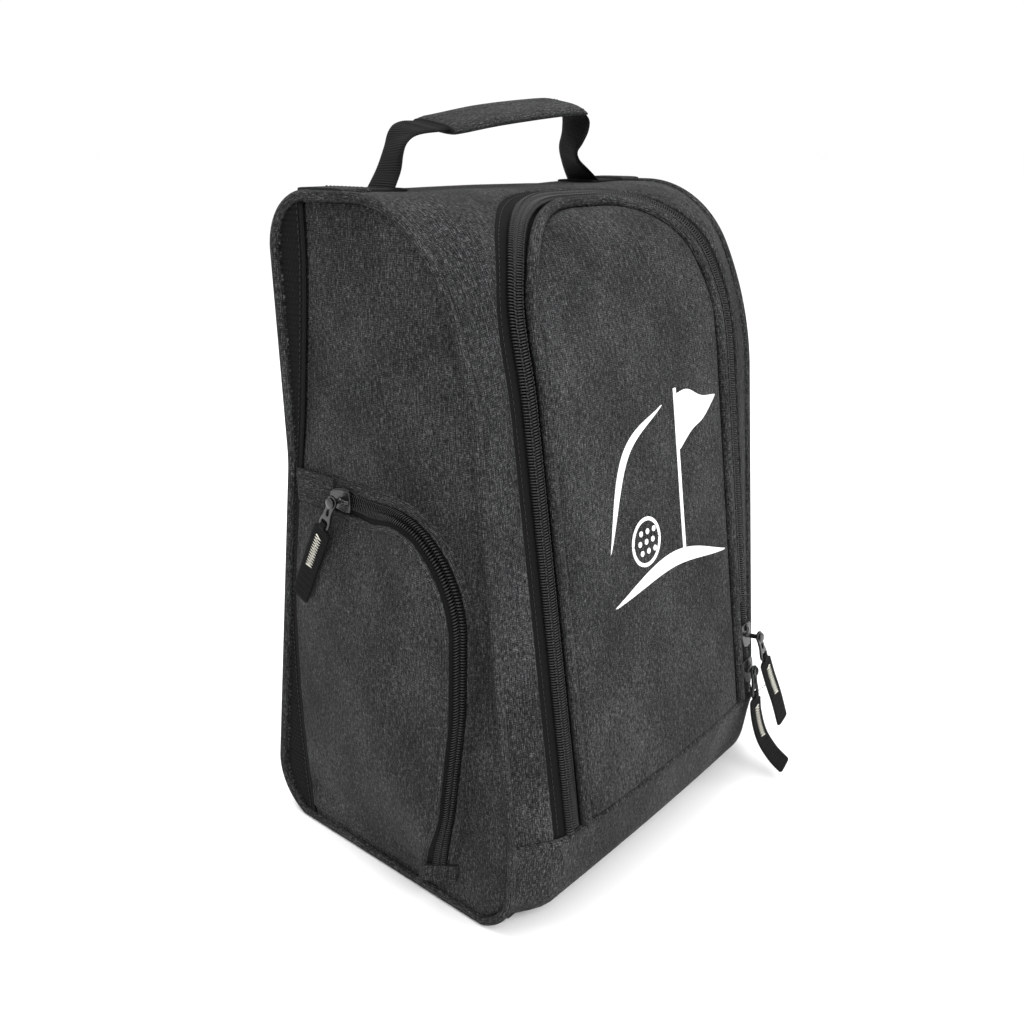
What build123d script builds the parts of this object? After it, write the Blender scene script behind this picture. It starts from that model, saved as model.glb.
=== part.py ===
from build123d import *
import os
from math import atan2, cos, radians, sin

# Golf shoe bag: an upright wedge-sided bag with a zipped U-shaped door on its sloping front,
# a zipped pocket on each side, a mesh vent along each back edge and a webbing top handle.
# Millimetres. X is the width, -Y the front, +Z up. The origin is the middle of the flat bottom.

# Body
WIDTH = 224.8
HEIGHT = 340.0
WALL = 3.0                      # laminated fabric, foam and lining
SEAM_HEIGHT = 54.0              # base panel below, door and gusset above
TOP_MIDDLE = 30.0               # Y where the flat top ends and the back corner starts
BACK_SEAM = 316.0               # top gusset above, back panel below
BACK_FOOT = 34.0                # back panel above, base panel below
# Side view corners (Y, Z) and the radius of each, clockwise from the top of the front
CORNERS = (
    ((-50.0, HEIGHT), 50.0),
    ((54.0, HEIGHT), 25.0),
    ((52.3, 214.0), 80.0),
    ((86.8, 0.0), 29.0),
    ((-97.0, 0.0), 29.0),
    ((-104.0, 50.0), 50.0),
    ((-73.0, 272.0), 180.0),
)
FRONT_LOW = (-103.4, SEAM_HEIGHT)
FRONT_HIGH = (-77.5, 240.0)
BOARD = 2.4
PIPING = 4.6                    # diameter of the fabric-covered cord round each side panel

# Door and its two-way zip, as half-widths across the front and offsets out from the fabric
ARCH_TOP = 210.0                # distance up the 45 degree plane through the bottom
ARCH_RADIUS = 68.0
DOOR_HALF = 73.0
WELT = 5.0
DOOR_THICK = 3.4
WELT_THICK = 4.8
TAPE = 1.2
TAPE_UNDER = 3.0                # how far the inner tape reaches under the door
COIL_INNER = 79.6
COIL_OUTER = 88.4
COIL_GAP = 1.2
COIL_PROUD = 2.0
COIL_SUNK = 1.6
OUTER_TAPE = 97.4
HINGE_GAP = 1.6                 # door's lower edge above the base seam
PARK_HEIGHT = 112.0             # inner zip side is trimmed back below this beside the sliders
PARK_TRIM = 77.0

# Side pockets
MESH_LINE = (
    (32.0, 342.0),
    (33.0, 305.0),
    (40.3, 246.0),
    (46.0, 212.0),
    (57.0, 150.0),
    (59.8, 110.0),
    (60.0, 60.0),
    (56.0, -10.0),
)
POCKET_CORNERS = (
    ((44.5, 211.0), 2.0),
    ((-71.0, 211.0), 52.0),
    ((-68.0, 118.0), 110.0),
    ((-52.0, 8.0), 8.0),
    ((56.0, 8.0), 2.0),
    ((59.0, 104.0), 30.0),
)
FLAP_LINE = -6.0                 # Y of the fold between the fixed face and the flap
POCKET_BACK_DEPTH = 6.0         # depth of the face at the fold
POCKET_FRONT_DEPTH = 17.0       # depth at the front edge
POCKET_FACE = 2.4
FIXED_DEPTH = 2.6               # least depth of the face behind the fold
BAND_TAPE = 4.6                 # outer tape, then the coil and the inner tape
BAND_ROW = 3.2
BAND_GAP = 1.0
BAND_INNER = 15.4               # whole band, from the pocket's edge to its face
ROW_PROUD = 2.6
TAB_TOP_Y = 20.0                # fabric tab over the top end of the pocket zip
TAB_BOTTOM_Z = 26.0             # and over its bottom end

# Sliders and pulls
PLATE = 1.4
PLATE_WIDTH = 11.0
PLATE_LENGTH = 14.0
SLIDER_GAP = 0.4
POST_RADIUS = 1.3
PULLER_WIDTH = 7.0
PULLER_LENGTH = 19.0
PULLER_THICK = 1.5
EYE_EDGE = 3.5                  # puller's top edge above the post it hangs from
BAR = 1.5                       # end bar that the webbing tab loops round
BAR_Y = EYE_EDGE - PULLER_LENGTH + BAR / 2
SLOT_WIDTH = 4.2
LOOP_GAP = 0.35
LOOP_WALL = 0.8
NECK = 0.5                      # slider's web between the two rows of coil
HEAD_THICK = 1.0
TAB_WIDTH = 10.0
TAB_LENGTH = 50.0
TAB_THICK = 1.8
LOWER_SLIDER = 70.0
UPPER_SLIDER = 92.0
UPPER_LEAN = 18.0               # upper pull leans aside, clear of the lower tab as it folds
POCKET_SLIDER_Y = 13.0
PULL_LEAN = 28.0                # pocket pulls lean back, degrees from hanging straight down

# Handle
STRAP_WIDTH = 25.0
STRAP_THICK = 2.4
HANDLE_Y = 20.0
FOOT_LIFT = 2.2                 # lowest point of the swinging strap above the top
HANDLE_AXIS = HEIGHT + STRAP_WIDTH / 2 + FOOT_LIFT
RISER_X = 77.0
# Strap centre line (X, Z) from left foot to right foot, and the radius of each bend between
STRAP_LINE = (
    (-RISER_X, HEIGHT + FOOT_LIFT),
    (-79.0, 358.0),
    (-64.0, 370.5),
    (0.0, 377.0),
    (76.0, 378.5),
    (86.0, 362.0),
    (RISER_X, HEIGHT + FOOT_LIFT),
)
STRAP_BENDS = (12.0, 9.0, 120.0, 8.0, 8.0)
GRIP_LEFT = -42.0
GRIP_RIGHT = 73.0
GRIP_WIDTH = 33.0
GRIP_THICK = 6.4
END_THICK = 1.6
END_INNER = 70.0                # sewn ends run from under the strap's feet to the side seams

HALF = WIDTH / 2
SLANT = atan2(FRONT_HIGH[0] - FRONT_LOW[0], FRONT_HIGH[1] - FRONT_LOW[1])
FRONT_UP = (0, sin(SLANT), cos(SLANT))
FRONT_OUT = (0, -cos(SLANT), sin(SLANT))
DOOR_PLANE = Plane(origin=(0, 0, 0), x_dir=(1, 0, 0), z_dir=(0, -1, 1))
CHAIN_X = (COIL_INNER + COIL_OUTER) / 2

os.makedirs("parts", exist_ok=True)


def keep_piece(part, name):
    """Names a finished piece and writes it to its own file."""
    part.label = name
    export_step(part, f"parts/{name}.step")


def outline(offset_out=0.0):
    """The body's side view outline, moved out (or in) by an offset."""
    with BuildSketch() as face:
        with BuildLine():
            FilletPolyline(
                [corner for corner, _ in CORNERS],
                radius=[radius for _, radius in CORNERS],
                close=True,
            )
        make_face()
        if offset_out:
            offset(amount=offset_out)
    return face.sketch_local


def slab(face, low, high):
    """A side view shape extruded from X = low to X = high."""
    with BuildPart() as block:
        with BuildSketch(Plane.YZ.offset(low)):
            add(face)
        extrude(amount=high - low)
    return block.part


def skin(inside, outside, half_width=HALF - WALL):
    """A band of the body's wall between two offsets, across the whole width."""
    with BuildPart() as band:
        add(slab(outline(outside), -half_width, half_width))
        add(slab(outline(inside), -half_width - 1, half_width + 1), mode=Mode.SUBTRACT)
    return band.part


def arch(half_width):
    """A prism of the door's arch shape that cuts the front and top walls."""
    grow = half_width - DOOR_HALF - WELT
    with BuildPart() as prism:
        with BuildSketch(DOOR_PLANE) as face:
            with Locations((0, ARCH_TOP + grow)):
                Rectangle(2 * half_width, 400, align=(Align.CENTER, Align.MAX))
            fillet(face.vertices().group_by(Axis.Z)[-1], ARCH_RADIUS + grow)
        extrude(amount=500)
    return prism.part


def door_band(inside, outside, inner_half, outer_half, seam_gap=0.0):
    """A U-shaped strip of the front wall between two arches, ending above the base seam."""
    with BuildPart() as strip:
        add(skin(inside, outside))
        add(arch(outer_half), mode=Mode.INTERSECT)
        if inner_half:
            add(arch(inner_half), mode=Mode.SUBTRACT)
        split(bisect_by=Plane.XY.offset(SEAM_HEIGHT + seam_gap), keep=Keep.TOP)
        split(bisect_by=Plane.XZ.offset(-TOP_MIDDLE), keep=Keep.TOP)
    return strip.part


def mesh_side(gap=0.0):
    """A prism behind the line where each side panel meets its mesh strip."""
    points = [(y - gap, z) for y, z in MESH_LINE]
    with BuildPart() as prism:
        with BuildSketch(Plane.YZ):
            with BuildLine():
                Polyline(*points, (140, -10), (140, 342), close=True)
            make_face()
        extrude(amount=200, both=True)
    return prism.part


# Body shells

with BuildPart() as main_gusset:
    add(skin(-WALL, 0))
    add(arch(OUTER_TAPE), mode=Mode.SUBTRACT)
    split(bisect_by=Plane.XY.offset(SEAM_HEIGHT), keep=Keep.TOP)
    with BuildSketch(Plane.YZ):
        with Locations((TOP_MIDDLE, 0)):
            Rectangle(100, BACK_SEAM, align=(Align.MIN, Align.MIN))
    extrude(amount=WIDTH, both=True, mode=Mode.SUBTRACT)
keep_piece(main_gusset.part, "main_gusset")

with BuildPart() as back_panel:
    add(skin(-WALL, 0))
    with BuildSketch(Plane.YZ):
        with Locations((TOP_MIDDLE, BACK_FOOT)):
            Rectangle(100, BACK_SEAM - BACK_FOOT, align=(Align.MIN, Align.MIN))
    extrude(amount=WIDTH, both=True, mode=Mode.INTERSECT)
keep_piece(back_panel.part, "back_panel")

with BuildPart() as base_panel:
    add(skin(-WALL, 0))
    with BuildSketch(Plane.YZ):
        with BuildLine():
            Polyline((-120, -5), (-120, SEAM_HEIGHT), (0, SEAM_HEIGHT), (TOP_MIDDLE, BACK_FOOT),
                     (120, BACK_FOOT), (120, -5), close=True)
        make_face()
    extrude(amount=WIDTH, both=True, mode=Mode.INTERSECT)
keep_piece(base_panel.part, "base_panel")

with BuildPart() as base_board:
    add(slab(outline(-WALL), -HALF + WALL + 3, HALF - WALL - 3))
    with BuildSketch(Plane.XY.offset(WALL)):
        Rectangle(300, 300)
    extrude(amount=BOARD, mode=Mode.INTERSECT)
keep_piece(base_board.part, "base_board")

for side, sign in (("left", -1), ("right", 1)):
    low, high = sorted((sign * HALF, sign * (HALF - WALL)))

    with BuildPart() as side_panel:
        add(slab(outline(), low, high))
        add(mesh_side(), mode=Mode.SUBTRACT)
    keep_piece(side_panel.part, f"{side}_side_panel")

    with BuildPart() as mesh_strip:
        add(slab(outline(), low, high))
        add(mesh_side(), mode=Mode.INTERSECT)
    keep_piece(mesh_strip.part, f"{side}_mesh_strip")

    with BuildPart() as piping:
        add(slab(outline(PIPING / 2), *sorted((sign * HALF, sign * (HALF + PIPING / 2)))))
        add(slab(outline(-PIPING / 2), *sorted((sign * (HALF - 1), sign * (HALF + 9)))), mode=Mode.SUBTRACT)
        split(bisect_by=Plane.XY, keep=Keep.TOP)
    keep_piece(piping.part, f"{side}_piping")

# Door and main zip

keep_piece(door_band(0, DOOR_THICK, 0, DOOR_HALF, HINGE_GAP), "front_door")
keep_piece(door_band(0, WELT_THICK, DOOR_HALF, DOOR_HALF + WELT, HINGE_GAP), "door_welt")
keep_piece(door_band(-TAPE, 0, COIL_OUTER, OUTER_TAPE), "main_zip_outer_tape")
keep_piece(
    door_band(-COIL_SUNK, COIL_PROUD, CHAIN_X + COIL_GAP / 2, COIL_OUTER),
    "main_zip_outer_coil",
)

with BuildPart() as parking:
    with BuildSketch(Plane.XZ.offset(200)):
        with Locations((PARK_TRIM, 0)):
            Rectangle(100, PARK_HEIGHT, align=(Align.MIN, Align.MIN))
    extrude(amount=-400)

with BuildPart() as main_zip_inner_tape:
    add(door_band(-TAPE, 0, DOOR_HALF + WELT - TAPE_UNDER, COIL_INNER, HINGE_GAP))
    add(parking.part, mode=Mode.SUBTRACT)
keep_piece(main_zip_inner_tape.part, "main_zip_inner_tape")

with BuildPart() as main_zip_inner_coil:
    add(door_band(-COIL_SUNK, COIL_PROUD, COIL_INNER, CHAIN_X - COIL_GAP / 2, HINGE_GAP))
    add(parking.part, mode=Mode.SUBTRACT)
keep_piece(main_zip_inner_coil.part, "main_zip_inner_coil")

# Side pockets. Each is made on the right and mirrored for the left.


def pocket_outline(inset=0.0):
    """The pocket's side view outline, moved in by an inset."""
    with BuildSketch() as face:
        with BuildLine():
            FilletPolyline(
                [corner for corner, _ in POCKET_CORNERS],
                radius=[radius for _, radius in POCKET_CORNERS],
                close=True,
            )
        make_face()
        if inset:
            offset(amount=-inset, kind=Kind.INTERSECTION)
    return face.sketch_local


def zip_run(inset, width, low, high):
    """A strip of the pocket zip: along the top edge, round the corner and down the front."""
    with BuildPart() as strip:
        add(slab(pocket_outline(inset), low, high))
        add(slab(pocket_outline(inset + width), low - 1, high + 1), mode=Mode.SUBTRACT)
        with BuildSketch(Plane.YZ):
            with BuildLine():
                Polyline((-120, TAB_BOTTOM_Z), (-120, 240), (TAB_TOP_Y, 240), (TAB_TOP_Y, 180),
                         (-30, 180), (-30, TAB_BOTTOM_Z), close=True)
            make_face()
        extrude(amount=200, mode=Mode.INTERSECT)
    return strip.part


FACE_SLOPE = (POCKET_FRONT_DEPTH - POCKET_BACK_DEPTH) / 54.0
FACE_PLANE = Plane(
    origin=(HALF + POCKET_BACK_DEPTH, FLAP_LINE, 0),
    x_dir=(0, 0, 1),
    z_dir=(1, FACE_SLOPE, 0),
)

with BuildPart() as flap_face:
    add(slab(pocket_outline(BAND_INNER), HALF + TAPE + 0.2, HALF + 40))
    split(bisect_by=FACE_PLANE, keep=Keep.BOTTOM)
    split(bisect_by=Plane.XZ.offset(-FLAP_LINE + 0.4), keep=Keep.TOP)
    with BuildPart(mode=Mode.PRIVATE) as hollow:
        add(slab(pocket_outline(BAND_INNER + POCKET_FACE), HALF, HALF + 40))
        split(bisect_by=FACE_PLANE.offset(-POCKET_FACE), keep=Keep.BOTTOM)
    add(hollow.part, mode=Mode.SUBTRACT)

with BuildPart() as fixed_face:
    add(slab(pocket_outline(BAND_INNER), HALF, HALF + 40))
    split(bisect_by=FACE_PLANE, keep=Keep.BOTTOM)
    add(slab(pocket_outline(BAND_INNER), HALF, HALF + FIXED_DEPTH))
    split(bisect_by=Plane.XZ.offset(-FLAP_LINE), keep=Keep.BOTTOM)

with BuildPart() as top_tab:
    add(slab(pocket_outline(), HALF, HALF + 2.2))
    with BuildSketch(Plane.YZ):
        with Locations((TAB_TOP_Y + 0.2, 211 - BAND_INNER + 0.1)):
            Rectangle(60, 30, align=(Align.MIN, Align.MIN))
    extrude(amount=200, mode=Mode.INTERSECT)

with BuildPart() as bottom_tab:
    add(slab(pocket_outline(), HALF, HALF + 2.2))
    with BuildSketch(Plane.YZ):
        with Locations((-90, TAB_BOTTOM_Z - 0.2)):
            Rectangle(44, 30, align=(Align.MIN, Align.MAX))
    extrude(amount=200, mode=Mode.INTERSECT)
    add(slab(pocket_outline(BAND_INNER - 0.4), HALF - 1, HALF + 9), mode=Mode.SUBTRACT)

row = BAND_TAPE
row_end = row + BAND_ROW
inner_row = row_end + BAND_GAP
inner_end = inner_row + BAND_ROW
flap_cut = Plane.XZ.offset(-FLAP_LINE + 0.4)

with BuildPart() as outer_tape:
    add(zip_run(0, BAND_TAPE, HALF, HALF + TAPE))

with BuildPart() as outer_coil:
    add(zip_run(row, BAND_ROW, HALF, HALF + ROW_PROUD))

with BuildPart() as inner_coil:
    add(zip_run(inner_row, BAND_ROW, HALF + 0.3, HALF + ROW_PROUD))
    split(bisect_by=flap_cut, keep=Keep.TOP)

with BuildPart() as inner_tape:
    add(zip_run(inner_end, BAND_INNER - inner_end + 2, HALF + 0.3, HALF + TAPE))
    split(bisect_by=flap_cut, keep=Keep.TOP)

POCKET_PIECES = {
    "pocket_face": flap_face,
    "pocket_fixed_face": fixed_face,
    "pocket_top_tab": top_tab,
    "pocket_bottom_tab": bottom_tab,
    "pocket_zip_outer_tape": outer_tape,
    "pocket_zip_outer_coil": outer_coil,
    "pocket_zip_inner_coil": inner_coil,
    "pocket_zip_inner_tape": inner_tape,
}
for name, piece in POCKET_PIECES.items():
    keep_piece(piece.part, f"right_{name}")
    keep_piece(mirror(piece.part, about=Plane.YZ), f"left_{name}")

# Sliders, pullers and webbing tabs


def slider(place, proud, sunk, post_length):
    """A zip slider on a plane whose Y is the travel and Z points out of the bag."""
    with BuildPart() as body:
        with BuildSketch(place.offset(proud + SLIDER_GAP)) as top:
            Rectangle(PLATE_WIDTH, PLATE_LENGTH)
            chamfer(top.vertices(), 2.4)
        extrude(amount=PLATE)
        if sunk:
            with BuildSketch(place.offset(-sunk - SLIDER_GAP)) as bottom:
                Rectangle(PLATE_WIDTH, PLATE_LENGTH)
                chamfer(bottom.vertices(), 2.4)
            extrude(amount=-PLATE)
        neck_start = -sunk - SLIDER_GAP if sunk else SLIDER_GAP
        with BuildSketch(place.offset(neck_start)):
            Rectangle(NECK, PLATE_LENGTH - 6)
        extrude(amount=proud + SLIDER_GAP - neck_start)
        with BuildSketch(place.offset(proud + SLIDER_GAP + PLATE)):
            Circle(POST_RADIUS)
        extrude(amount=post_length)
        with BuildSketch(place.offset(proud + SLIDER_GAP + PLATE + post_length)):
            Circle(POST_RADIUS + 1.5)
        extrude(amount=HEAD_THICK)
    return body.part


def puller(place, height):
    """A metal pull with an eye round the slider's post and a slot for its webbing tab."""
    with BuildPart() as body:
        with BuildSketch(place.offset(height)):
            with Locations((0, EYE_EDGE)):
                RectangleRounded(PULLER_WIDTH, PULLER_LENGTH, 3, align=(Align.CENTER, Align.MAX))
            Circle(POST_RADIUS + 0.3, mode=Mode.SUBTRACT)
            with Locations((0, BAR_Y + BAR / 2)):
                Rectangle(SLOT_WIDTH, 2.8, align=(Align.CENTER, Align.MIN), mode=Mode.SUBTRACT)
        extrude(amount=PULLER_THICK)
    return body.part


def webbing_tab(place, height):
    """A strip of webbing sewn into a small loop round the bar at the puller's end."""
    middle = height + PULLER_THICK / 2
    across = Plane(origin=place.origin, x_dir=place.y_dir, z_dir=place.x_dir)
    loop_inside = BAR + 2 * LOOP_GAP
    loop_outside = loop_inside + 2 * LOOP_WALL
    with BuildPart() as body:
        with BuildSketch(across):
            with Locations((BAR_Y, middle)):
                Rectangle(loop_outside, loop_outside)
                Rectangle(loop_inside, loop_inside, mode=Mode.SUBTRACT)
        extrude(amount=SLOT_WIDTH / 2 - LOOP_GAP, both=True)
        with BuildSketch(place.offset(middle - TAB_THICK / 2)):
            with Locations((0, BAR_Y - loop_outside / 2)):
                RectangleRounded(TAB_WIDTH, TAB_LENGTH, 1, align=(Align.CENTER, Align.MAX))
        extrude(amount=TAB_THICK)
    return body.part


def front_place(height, aside=0.0):
    """The plane on the front face at the right-hand chain at a height, turned aside by an angle."""
    along = (height - FRONT_LOW[1]) / FRONT_UP[2]
    y = FRONT_LOW[0] + along * FRONT_UP[1]
    turn = radians(aside)
    across = (cos(turn), sin(turn) * FRONT_UP[1], sin(turn) * FRONT_UP[2])
    return Plane(origin=(CHAIN_X, y, height), x_dir=across, z_dir=FRONT_OUT)


def post_length(start, proud):
    """Length of a slider's post that just holds a puller lying at a height off the plane."""
    return start + PULLER_THICK + SLIDER_GAP - (proud + SLIDER_GAP + PLATE)


LOW_PULL = WELT_THICK + 2 * LOOP_WALL
HIGH_PULL = LOW_PULL + PULLER_THICK + SLIDER_GAP + HEAD_THICK + LOOP_WALL + LOOP_GAP + 0.5
for name, height, lift, aside in (
    ("main_lower", LOWER_SLIDER, LOW_PULL, 0.0),
    ("main_upper", UPPER_SLIDER, HIGH_PULL, UPPER_LEAN),
):
    place = front_place(height)
    hang = front_place(height, aside)
    length = post_length(lift, COIL_PROUD)
    keep_piece(slider(place, COIL_PROUD, COIL_SUNK, length), f"{name}_slider")
    keep_piece(puller(hang, lift), f"{name}_puller")
    keep_piece(webbing_tab(hang, lift), f"{name}_pull_tab")

POCKET_PULL = POCKET_BACK_DEPTH + 2.4
chain_height = POCKET_CORNERS[0][0][1] - row_end - BAND_GAP / 2
chain_point = (HALF, POCKET_SLIDER_Y, chain_height)
lean = radians(PULL_LEAN)
pull_place = Plane(origin=chain_point, x_dir=(0, cos(lean), sin(lean)), z_dir=(1, 0, 0))
slider_place = Plane(origin=chain_point, x_dir=(0, 0, 1), z_dir=(1, 0, 0))
pocket_pull = {
    "pocket_slider": slider(slider_place, ROW_PROUD, 0, post_length(POCKET_PULL, ROW_PROUD)),
    "pocket_puller": puller(pull_place, POCKET_PULL),
    "pocket_pull_tab": webbing_tab(pull_place, POCKET_PULL),
}
for name, piece in pocket_pull.items():
    keep_piece(piece, f"right_{name}")
    keep_piece(mirror(piece, about=Plane.YZ), f"left_{name}")

# Handle

with BuildPart() as handle_strap:
    with BuildSketch(Plane.XZ.offset(-HANDLE_Y)):
        with BuildLine():
            FilletPolyline(*STRAP_LINE, radius=STRAP_BENDS)
        trace(line_width=STRAP_THICK)
    extrude(amount=STRAP_WIDTH / 2, both=True)
    # The strap's feet are rounded about the handle's axis, so that it swings clear of the top
    with BuildSketch(Plane.YZ) as side_view:
        with Locations((HANDLE_Y, HANDLE_AXIS)):
            Circle(STRAP_WIDTH / 2)
            Rectangle(STRAP_WIDTH, 60, align=(Align.CENTER, Align.MIN))
    extrude(amount=WIDTH, both=True, mode=Mode.INTERSECT)
keep_piece(handle_strap.part, "handle_strap")

with BuildPart() as handle_grip:
    with BuildSketch(Plane.XZ.offset(-HANDLE_Y)):
        with BuildLine():
            FilletPolyline(*STRAP_LINE, radius=STRAP_BENDS)
        trace(line_width=GRIP_THICK)
    extrude(amount=GRIP_WIDTH / 2, both=True)
    with BuildSketch(Plane.XY.offset(HEIGHT + 15)):
        with Locations((GRIP_LEFT, HANDLE_Y)):
            Rectangle(GRIP_RIGHT - GRIP_LEFT, 60, align=(Align.MIN, Align.CENTER))
    extrude(amount=60, mode=Mode.INTERSECT)
    add(handle_strap.part, mode=Mode.SUBTRACT)
keep_piece(handle_grip.part, "handle_grip")

for side, sign in (("left", -1), ("right", 1)):
    with BuildPart() as sewn_end:
        with BuildSketch(Plane.XY.offset(HEIGHT)):
            with Locations((sign * (END_INNER + HALF - WALL) / 2, HANDLE_Y)):
                Rectangle(HALF - WALL - END_INNER, STRAP_WIDTH)
        extrude(amount=END_THICK)
    keep_piece(sewn_end.part, f"{side}_handle_end")
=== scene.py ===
import math
import bpy
import numpy as np
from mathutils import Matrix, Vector
from mathutils.bvhtree import BVHTree
from mathutils.geometry import delaunay_2d_cdt


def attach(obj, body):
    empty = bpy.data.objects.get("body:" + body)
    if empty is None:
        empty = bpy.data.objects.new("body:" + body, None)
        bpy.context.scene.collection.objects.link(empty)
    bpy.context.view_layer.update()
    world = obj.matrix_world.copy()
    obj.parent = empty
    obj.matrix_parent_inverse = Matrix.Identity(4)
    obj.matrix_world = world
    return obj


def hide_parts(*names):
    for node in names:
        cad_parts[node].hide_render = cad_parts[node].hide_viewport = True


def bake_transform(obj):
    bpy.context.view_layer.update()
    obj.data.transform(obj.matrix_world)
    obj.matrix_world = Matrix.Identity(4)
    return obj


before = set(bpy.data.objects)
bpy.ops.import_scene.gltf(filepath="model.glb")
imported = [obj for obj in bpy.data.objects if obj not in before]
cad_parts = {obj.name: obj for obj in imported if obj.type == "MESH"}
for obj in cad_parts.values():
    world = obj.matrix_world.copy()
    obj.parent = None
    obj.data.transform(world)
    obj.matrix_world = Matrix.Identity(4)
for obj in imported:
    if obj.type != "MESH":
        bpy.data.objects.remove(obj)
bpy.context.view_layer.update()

# Lengths are in millimetres up to new_mesh(), which turns them into metres.
MM = 0.001
MIRROR = np.array([-1, 1, 1])
SIDES = (("left", -1), ("right", 1))
scene = bpy.context.scene

# Side view corners (Y, Z) of the bag and the radius of each, clockwise from the top of the front
CORNERS = (
    ((-50.0, 340.0), 50.0),
    ((54.0, 340.0), 25.0),
    ((52.3, 214.0), 80.0),
    ((86.8, 0.0), 29.0),
    ((-97.0, 0.0), 29.0),
    ((-104.0, 50.0), 50.0),
    ((-73.0, 272.0), 180.0),
)
# The side panels are a little shallower, so the full front curves back to the side seams
SIDE_CORNERS = (((-36.2, 340.0), 59.0),) + CORNERS[1:4] + (
    ((-88.0, 0.0), 29.0),
    ((-91.0, 50.0), 50.0),
    ((-69.6, 276.0), 180.0),
)
SEAM_POINT = (-103.4, 54.0)
HALF = 112.4
TOP_END_Y = 30.0
BACK_SEAM = 316.0
BACK_FOOT = 34.0
SHELL = 2.6
PIPING_RADIUS = 2.3

# Door arch, in X and the distance up the 45 degree plane through the bottom
CHAIN_X = 84.0
ARC_CENTRE_X = 10.0
ARC_CENTRE_V = 142.0
GUSSET_EDGE = 10.4              # distances from the middle of the zip, outwards
DOOR_EDGE = -11.0
PARK_HEIGHT = 112.0

MESH_LINE = ((32, 342), (33, 305), (40.3, 246), (46, 212), (57, 150), (59.8, 110), (60, 60),
             (56, -10))
POCKET_CORNERS = (
    ((44.5, 211.0), 2.0),
    ((-71.0, 211.0), 52.0),
    ((-68.0, 118.0), 110.0),
    ((-52.0, 8.0), 8.0),
    ((56.0, 8.0), 2.0),
    ((59.0, 104.0), 30.0),
)


# ---------------------------------------------------------------- outlines

def unit(a):
    """Vectors of length 1 along the last axis."""
    return a / np.maximum(np.linalg.norm(a, axis=-1, keepdims=True), 1e-12)


def smooth(x, low, high):
    """0 below low, 1 above high, smooth between."""
    t = np.clip((np.asarray(x, float) - low) / (high - low), 0, 1)
    return t * t * (3 - 2 * t)


def run_length(points):
    """Distance along a line of points, from its first point."""
    steps = np.linalg.norm(np.diff(points, axis=0), axis=1)
    return np.concatenate([[0.0], np.cumsum(steps)])


def resample(points, step):
    """Evenly spaced points along a line, both ends kept."""
    points = np.asarray(points, float)
    length = run_length(points)
    count = max(2, int(round(length[-1] / step)) + 1)
    at = np.linspace(0, length[-1], count)
    return np.stack([np.interp(at, length, points[:, k]) for k in range(points.shape[1])], -1)


def bezier(points, step=1.0):
    """A smooth line through points, sampled evenly."""
    p = np.asarray(points, float)
    ext = np.vstack([2 * p[0] - p[1], p, 2 * p[-1] - p[-2]])
    out = []
    for i in range(len(p) - 1):
        a, b, c, d = ext[i], ext[i + 1], ext[i + 2], ext[i + 3]
        for t in np.linspace(0, 1, 12, endpoint=False):
            out.append(0.5 * (2 * b + (c - a) * t + (2 * a - 5 * b + 4 * c - d) * t * t
                              + (3 * b - 3 * c + d - a) * t ** 3))
    out.append(p[-1])
    return resample(out, step)


class Rail:
    """A closed outline with rounded corners, as points and outward normals by distance."""

    def __init__(self, corners, start):
        points = []
        for i, (corner, radius) in enumerate(corners):
            p = np.array(corner)
            back = unit(np.array(corners[i - 1][0]) - p)
            on = unit(np.array(corners[(i + 1) % len(corners)][0]) - p)
            half = math.acos(float(np.clip(back @ on, -1, 1))) / 2
            centre = p + unit(back + on) * radius / math.sin(half)
            first = p + back * radius / math.tan(half) - centre
            last = p + on * radius / math.tan(half) - centre
            a = math.atan2(first[1], first[0])
            turn = (math.atan2(last[1], last[0]) - a + math.pi) % (2 * math.pi) - math.pi
            for k in np.linspace(0, 1, max(3, int(abs(turn) * radius / 1.0))):
                points.append(centre + radius * np.array([math.cos(a + turn * k),
                                                          math.sin(a + turn * k)]))
        loop = resample(np.vstack([points, points[:1]]), 0.5)[:-1]
        first = int(np.argmin(np.linalg.norm(loop - np.array(start), axis=1)))
        loop = np.roll(loop, -first, axis=0)
        ahead = np.roll(loop, -1, 0)
        area = np.sum(loop[:, 0] * ahead[:, 1] - ahead[:, 0] * loop[:, 1])
        tangent = unit(np.roll(loop, -3, 0) - np.roll(loop, 3, 0))
        normal = np.stack([-tangent[:, 1], tangent[:, 0]], -1) * (1 if area < 0 else -1)
        self.total = float(np.sum(np.linalg.norm(ahead - loop, axis=1)))
        self.loop = loop
        self.s = np.linspace(0, self.total, len(loop) + 1)
        self.table = np.hstack([loop, normal])
        self.table = np.vstack([self.table, self.table[:1]])

    def at(self, s, off=0.0):
        s = np.asarray(s, float) % self.total
        y, z, ny, nz = (np.interp(s, self.s, self.table[:, k]) for k in range(4))
        size = np.hypot(ny, nz)
        return y + ny / size * off, z + nz / size * off

    def find(self, axis, value, low, high):
        """Distance, between low and high, where one coordinate crosses a value."""
        inside = np.nonzero((self.s >= low) & (self.s <= high))[0]
        gap = self.table[inside, axis] - value
        k = inside[int(np.argmin(np.abs(gap)))]
        return float(self.s[k])


rail = Rail(CORNERS, SEAM_POINT)
side_rail = Rail(SIDE_CORNERS, (-90.65, 54.0))
S_TOP_END = rail.find(0, TOP_END_Y, 250, 450)
S_BACK_SEAM = rail.find(1, BACK_SEAM, S_TOP_END, S_TOP_END + 80)
S_BACK_FOOT = rail.find(1, BACK_FOOT, S_BACK_SEAM + 150, S_BACK_SEAM + 360)

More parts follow.
